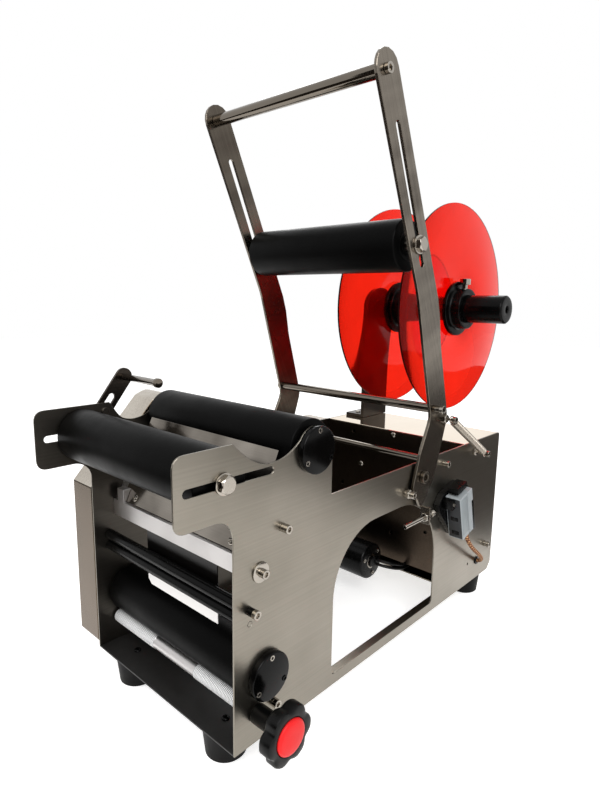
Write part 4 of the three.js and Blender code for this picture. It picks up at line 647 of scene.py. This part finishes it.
keep(hand_knob(), "lobed_knob", moulded_black, "pinch", "hand_knob")
keep(turned(PINCH, [
    (17.6, -46.7), (18, -47.3), (18, -48.4), (17.2, -49.6), (15.8, -50.4), (14, -50.8), (8, -51.1),
    (1, -51.2)]), "red_knob_cap", cap_red, "pinch", "knob_cap")

# Bearing caps with a broken rim, closed on the near side and open for the shaft on the far side; their
# screws are copied on below
for level, axis in (("upper", BOSS), ("lower", TRACTION)):
    keep(turned(axis, [(25, -0.3), (25, -6.3), (24.1, -7.3)], edge=0.35), level + "_cap", cap_black,
         "machine_frame", level + "_bearing_cap")
    keep(turned(axis, [(8.4, 260.3), (20, 260.3), (20, 266.3), (19, 267.3), (8.4, 267.3)], ring=True,
                edge=0.35), level + "_far_ring", cap_black, "machine_frame", level + "_far_bearing")

# Rubber feet, turned on upright axes
for node, x, y in (("near_front_foot", 27, 45), ("far_front_foot", 27, 215), ("near_rear_foot", 525, 28),
                   ("far_rear_foot", 525, 232)):
    piece = turned((0, 0), [(20.5, -33), (22, -31.4), (25.1, -2.6), (25.5, -1.6), (24.5, -0.3), (3.4, -0.3)])
    keep(aimed(piece, (x, y, 0), (0, 0, -1)), node + "_rubber", foot_rubber, "machine_frame", node)

# Label reel: spindle, clear discs with a sawn rim, and their hubs
RIM_START = 0.15
keep(turned(REEL, [
    (5, 2), (5, -11), (6, -12), (18.8, -12), (21, -9.8), (21, 218.7), (10, 218.7), (10, 225.3), (15.4, 225.3),
    (16, 226), (16, 231.3), (4, 231.3)], edge=0.3), "reel_spindle", shaft_black, "reel", "reel_shaft")
for side, body, near in (("near", "near_disc", 72), ("far", "reel", 179.5)):
    disc = keep(turned(REEL, [(21.3, near), (160, near), (160, near + 3), (21.3, near + 3)], ring=True,
                       segments=192), side + "_disc", disc_acrylic, body, side + "_label_disc")
    disc.data.materials.append(edge_acrylic)
    for face in disc.data.polygons:
        out = (face.center - at(*on_axis(REEL, 0))).xz.length
        face.material_index = int(abs(face.normal.y) < 0.5 and out > RIM_START)
    keep(turned(REEL, [
        (21.3, near - 22.3), (30, near - 22.3), (31, near - 21.3), (31, near - 8.3), (33, near - 6.3),
        (41.2, near - 6.3), (42, near - 5.5), (42, near - 0.3), (21.3, near - 0.3)], ring=True, edge=0.3),
        side + "_hub", shaft_black, body, side + "_disc_hub")

# Screws of the control box's panel, as shares of its width and height
PANEL_SCREWS = [(0.477, 0.97), (0.715, 0.711), (0.115, 0.884), (0.115, 0.172), (0.877, 0.172)]


# Fasteners: modelled once and copied. The socket heads go by their radius
def fasteners():
    sockets = {radius: screw_model(radius, length)
               for radius, length in ((4.5, 5), (2.9, 1.4), (5.6, 5), (8.1, 5))}
    body = "machine_frame"
    for number, axis in enumerate([(63.9, 216.3), (533, 51), WELL_GUIDE, (50.5, 34), STOP_STUD]):
        base = -8.1 if axis == STOP_STUD else -4.1
        keep(turned(axis, [(4.5, 0), (4.5, base - 0.1)], segments=40, edge=0.1), f"plate_boss_{number}",
             screw_zinc, body)
        copied(sockets[4.5], f"plate_screw_{number}", screw_zinc, body, on_axis(axis, base))
        if number in (1, 2):
            copied(sockets[4.5], f"far_plate_screw_{number}", screw_zinc, body, on_axis(axis, 260.2),
                   (0, 1, 0))
    keep(turned(PEEL_BAR, [(10.2, -0.2), (10.2, -1.6)], edge=0.2), "bar_washer", screw_zinc, body)
    keep(turned(PEEL_BAR, [(4.5, -1.6), (4.5, -4)], segments=40, edge=0.1), "bar_boss", screw_zinc, body)
    copied(sockets[4.5], "bar_screw", screw_zinc, body, on_axis(PEEL_BAR, -3.7))
    copied(sockets[4.5], "upper_guide_head", screw_zinc, "upper_guide", on_axis(UPPER_GUIDE, -7.6))
    for level, axis in (("upper", BOSS), ("lower", TRACTION)):
        for degrees in (90, 210, 330):
            # The screw at 330° lies in shadow and takes the black cap finish: painted shade
            head = cap_black if degrees == 330 else screw_zinc
            copied(sockets[2.9], f"{level}_cap_screw_{degrees}", head, body,
                   on_axis(around(axis, 20.6, degrees), -6.7))
            copied(sockets[2.9], f"{level}_ring_screw_{degrees}", screw_zinc, body,
                   on_axis(around(axis, 15.5, degrees), 266.7), (0, 1, 0))
    for name, axis, near in (("handle", HANDLE, -6.8), ("lower_bar", LOWER_ROD, -16.8)):
        copied(sockets[5.6], name + "_screw_near", screw_zinc, "press_frame", on_axis(axis, near))
        copied(sockets[5.6], name + "_screw_far", screw_zinc, "press_frame", on_axis(axis, 266.8), (0, 1, 0))
    copied(sockets[8.1], "pivot_head_near", pivot_zinc, body, on_axis(PIVOT, -6.9))
    copied(sockets[8.1], "pivot_head_far", screw_zinc, body, on_axis(PIVOT, 266.9), (0, 1, 0))
    copied(sockets[4.5], "adjusting_head", screw_zinc, "press_frame", (331.2, -12.5, 160), (1, 0, 0))
    copied(sockets[4.5], "arm_stud_head", screw_zinc, "press_frame", on_axis(ARM_STUD, -19.2))
    copied(sockets[4.5], "plate_stud_head", screw_zinc, body, on_axis(PLATE_STUD, -19.2))
    for degrees in (40, 160, 280):
        copied(sockets[2.9], f"motor_screw_{degrees}", screw_zinc, body,
               on_axis(around(MOTOR, 20, degrees), 119.8))
    crossed = cross_model(4.3, 2.6)
    for number, y in enumerate((42, 218)):
        copied(crossed, f"peel_screw_{number}", screw_zinc, body, (34.1, y, 198.3), PEEL_FRONT)
    for number, (across, up) in enumerate(PANEL_SCREWS):
        copied(crossed, f"panel_screw_{number}", screw_zinc, body,
               (443.9, across * FAR_FACE, up * PANEL_HEIGHT), (-1, 0, 0))
    for number, x in enumerate((504, 546)):
        copied(crossed, f"post_screw_{number}", screw_zinc, body, (x, 241, 237.4), (0, 0, 1))
    for number, y in enumerate((45, 215)):
        copied(crossed, f"foot_screw_{number}", cap_black, body, (27, y, 2.1), (0, 0, 1))
    nut = hex_model(11, 4.1)
    copied(nut, "arm_stud_nut", screw_zinc, "press_frame", on_axis(ARM_STUD, -6.5))
    copied(nut, "stop_stud_nut", screw_zinc, body, on_axis(STOP_STUD, -2.4))
    copied(nut, "plate_stud_nut", screw_zinc, body, on_axis(PLATE_STUD, -0.3))
    copied(nut, "adjusting_nut_front", screw_zinc, "press_frame", (316.6, -12.5, 160), (-1, 0, 0))
    copied(nut, "adjusting_nut_rear", screw_zinc, "press_frame", (320.4, -12.5, 160), (1, 0, 0))
    for model in (*sockets.values(), crossed, nut):
        bpy.data.objects.remove(model)


fasteners()


# Return spring: one round wire, a loop at each end and close curls between them
def wire_piece(name, points, radius, steps=3, spline="POLY"):
    """A round wire along a line of points."""
    curve = bpy.data.curves.new(name, "CURVE")
    curve.dimensions = "3D"
    curve.bevel_depth = radius / 1000
    curve.bevel_resolution = 3
    curve.use_fill_caps = True
    curve.resolution_u = steps
    line = curve.splines.new(spline)
    line.points.add(len(points) - 1)
    for point, place in zip(line.points, points):
        point.co = (*at(*place), 1)
    if spline == "NURBS":
        line.order_u = 4
        line.use_endpoint_u = True
    piece = bpy.data.objects.new(name, curve)
    bpy.context.scene.collection.objects.link(piece)
    return piece


def spring_points():
    curl, pitch, hook_room, steps, loop_steps, y = 4.7, 2.1, 7.5, 20, 24, -17
    start, end = Vector(on_axis(ARM_STUD, y)), Vector(on_axis(PLATE_STUD, y))
    along = (end - start).normalized()
    across = Vector((-along.z, 0, along.x))
    coiled = (end - start).length - 2 * hook_room
    curls = round(coiled / pitch)

    def loop(middle, first):
        """Three quarters of a turn around a screw."""
        angles = [first - 1.5 * math.pi * i / loop_steps for i in range(loop_steps + 1)]
        return [middle + along * (curl * math.cos(a)) + across * (curl * math.sin(a)) for a in angles]

    points = loop(start, 2 * math.pi)
    for i in range(curls * steps + 1):
        angle = 2 * math.pi * i / steps
        reach = hook_room + coiled * i / (curls * steps)
        points.append(start + along * reach + across * curl * math.cos(angle)
                      + Vector((0, -curl * math.sin(angle), 0)))
    return points + loop(end, math.pi / 2)


pick(wire_piece("coil_spring", spring_points(), 0.85, 1))
bpy.ops.object.convert(target="MESH")
bpy.ops.object.shade_smooth()
keep(bpy.context.object, "coil_spring", spring_wire, "press_frame", "return_spring")

# Leads
SWITCH_LEAD = [
    (417.2, -21, 114.4), (421, -21.1, 106), (426, -21.5, 97), (434, -22, 87), (445, -22, 77), (458, -21, 68),
    (471, -19.5, 59.5), (483, -17.5, 51), (493, -15, 43.5), (500, -11.5, 37.5), (505, -7, 33),
    (507.5, -2, 30.6), on_axis(LEAD_HOLE, 4), on_axis(LEAD_HOLE, 12)]
MOTOR_LEAD = [
    (404, 119.6, 19), (405, 113, 18.6), (408.5, 106, 17.4), (414.5, 100.5, 15.4), (422, 97, 12.6),
    (430, 95, 10), (438, 93.5, 8.4), (446, 92.5, 7.6), (456, 92, 7.4)]


def lead_piece(name, node, points, radius, material):
    piece = wire_piece(name, points, radius, 4, "NURBS")
    piece.data.materials.append(material)
    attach(piece, "machine_frame")
    if node:
        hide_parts(node)


lead_piece("braided_switch_lead", "switch_lead", SWITCH_LEAD, 3, sleeve)
lead_piece("motor_cable", "motor_lead", MOTOR_LEAD, 2.5, lead_black)
lead_piece("second_motor_cable", "", [(x + 2, y - 1, z + 6.5) for x, y, z in MOTOR_LEAD], 2.5, lead_black)

# Limit switch, reel screw and motor keep the frame's shape, with smooth edges
for node, material in (("limit_switch_body", switch_grey), ("limit_switch_bracket", moulded_black),
                       ("limit_switch_button", moulded_black), ("hub_thumb_screw", screw_zinc),
                       ("gear_motor", motor_black)):
    dressed(node, material, 0.3, 30)


# Limit switch: a dark sheet on its front face as painted shade, with two slots, a bare label field, and a
# lug with its screw
def switch_detail():
    place, lean = (398.5, 0, 146.5), Matrix.Rotation(math.radians(-15), 4, "Y")
    for name, low, high, material in (
            ("switch_shaded_front", (-18.1, -31.2, -31), (-17.3, -11.5, 31), switch_painted_shade),
            ("switch_slot_low", (-18.4, -27, -26), (-17.6, -16, -20), moulded_black),
            ("switch_slot_mid", (-18.4, -27, -4), (-17.6, -16, 2), moulded_black),
            ("switch_label", (-15.5, -32.5, -26), (1.2, -31.8, 29), label_grey),
            ("switch_strip", (13.5, -32.5, -32.6), (17.7, -31, 14), moulded_black),
            ("switch_lug", (-25, -24, 17), (-17.2, -10, 31), moulded_black)):
        keep(placed(soften(block(low, high), 0.25), place, lean), name, material, "machine_frame")
    screw = aimed(screw_model(2.6, 1.6), (-21, -23.8, 24.5))
    keep(placed(screw, place, lean), "switch_lug_screw", screw_zinc, "machine_frame")


switch_detail()
keep(turned(MOTOR, [(8.4, 119.4), (11, 119.4), (11, 120.2), (8.4, 120.2)], ring=True, edge=0.1),
     "motor_ring", screw_zinc, "machine_frame")
keep(turned(LEAD_HOLE, [(3.4, -0.1), (6.4, -0.1), (6.4, -1.2), (5.4, -2), (3.4, -2)], ring=True, edge=0.2),
     "lead_grommet", moulded_black, "machine_frame")


# Floor, world and lamps
def backdrop_rays(material):
    """1 on the rays that meet the backdrop as it looks: those of the camera, of gloss and of clear pieces."""
    path = add(material, "ShaderNodeLightPath").outputs
    seen = path["Is Camera Ray"]
    for ray in ("Is Glossy Ray", "Is Transmission Ray"):
        seen = add(material, "ShaderNodeMath", [(0, seen), (1, path[ray])], operation="MAXIMUM").outputs[0]
    return seen


def floor_material():
    """Matt pale floor. Its own glow lifts it to white and still leaves the object's shadow."""
    material = bpy.data.materials.new("Pale floor")
    material.use_nodes = True
    shader = material.node_tree.nodes["Principled BSDF"]
    shader.inputs["Base Color"].default_value = linear("#f4f3f1")
    shader.inputs["Roughness"].default_value = 0.9
    shader.inputs["Emission Color"].default_value = (1, 1, 1, 1)
    glow = add(material, "ShaderNodeMath", [(0, backdrop_rays(material))], [(1, 0.62)], operation="MULTIPLY")
    link(material, glow.outputs[0], shader, "Emission Strength")
    return material


def dark_cloth(name, low, high, height=0.001, tall=False):
    """A dark cloth, lying or hung, met only by reflections: it gives the bright metal its dark streaks."""
    bpy.ops.object.select_all(action="DESELECT")
    middle = ((low[0] + high[0]) / 2, (low[1] + high[1]) / 2, height)
    bpy.ops.mesh.primitive_plane_add(size=1, location=middle)
    cloth = bpy.context.object
    cloth.name = name
    cloth.scale = (high[0] - low[0], high[1] - low[1], 1)
    material = bpy.data.materials.new(name)
    material.use_nodes = True
    shader = material.node_tree.nodes["Principled BSDF"]
    shader.inputs["Base Color"].default_value = linear("#2a2019")
    shader.inputs["Roughness"].default_value = 1
    cloth.data.materials.append(material)
    if tall:
        bpy.ops.transform.rotate(value=math.radians(90), orient_axis="Y", center_override=cloth.location)
    for ray in ("camera", "diffuse", "transmission", "shadow"):
        setattr(cloth, "visible_" + ray, False)


def surroundings():
    """Floor, cloths, world and lamps, in metres from the scene's origin."""
    bpy.ops.object.select_all(action="DESELECT")
    bpy.ops.mesh.primitive_plane_add(size=12, location=(0, 0, -0.0004))
    floor = bpy.context.object
    floor.name = "floor"
    floor.data.materials.append(floor_material())
    dark_cloth("front cloth", (-3.6, -2.6), (-0.72, 2.6))
    dark_cloth("right cloth", (0.4, -1.8), (2.4, -0.2))
    dark_cloth("front curtain", (-4, -3.2), (-2.4, 1.4), 0.8, tall=True)
    world = bpy.data.worlds.new("Studio")
    bpy.context.scene.world = world
    world.use_nodes = True
    background = world.node_tree.nodes["Background"]
    background.inputs["Color"].default_value = (1, 1, 1, 1)
    level = add(world, "ShaderNodeMapRange", [("Value", backdrop_rays(world))], To_Min=0.45, To_Max=1)
    link(world, level.outputs[0], background, "Strength")
    for name, place, target, power, size, mirrored in (
            ("key lamp", (-1.1, -1.5, 1.7), (0, 0, 0.2), 34, 1.3, True),
            ("fill lamp", (-1.6, 0.9, 1.2), (0, 0, 0.2), 12, 1.4, False),
            ("low lamp", (-1.7, -0.25, 0.4), (-0.3, 0, 0.05), 6, 0.9, False),
            ("rear lamp", (1.5, 1.1, 1.7), (0, 0, 0.25), 14, 1.2, True)):
        lamp = bpy.data.objects.new(name, bpy.data.lights.new(name, "AREA"))
        lamp.data.energy = power
        lamp.data.size = size
        lamp.location = place
        lamp.visible_glossy = mirrored
        lamp.rotation_euler = (Vector(target) - Vector(place)).to_track_quat("-Z", "Y").to_euler()
        bpy.context.scene.collection.objects.link(lamp)


surroundings()
bpy.context.scene.view_settings.view_transform = "Standard"
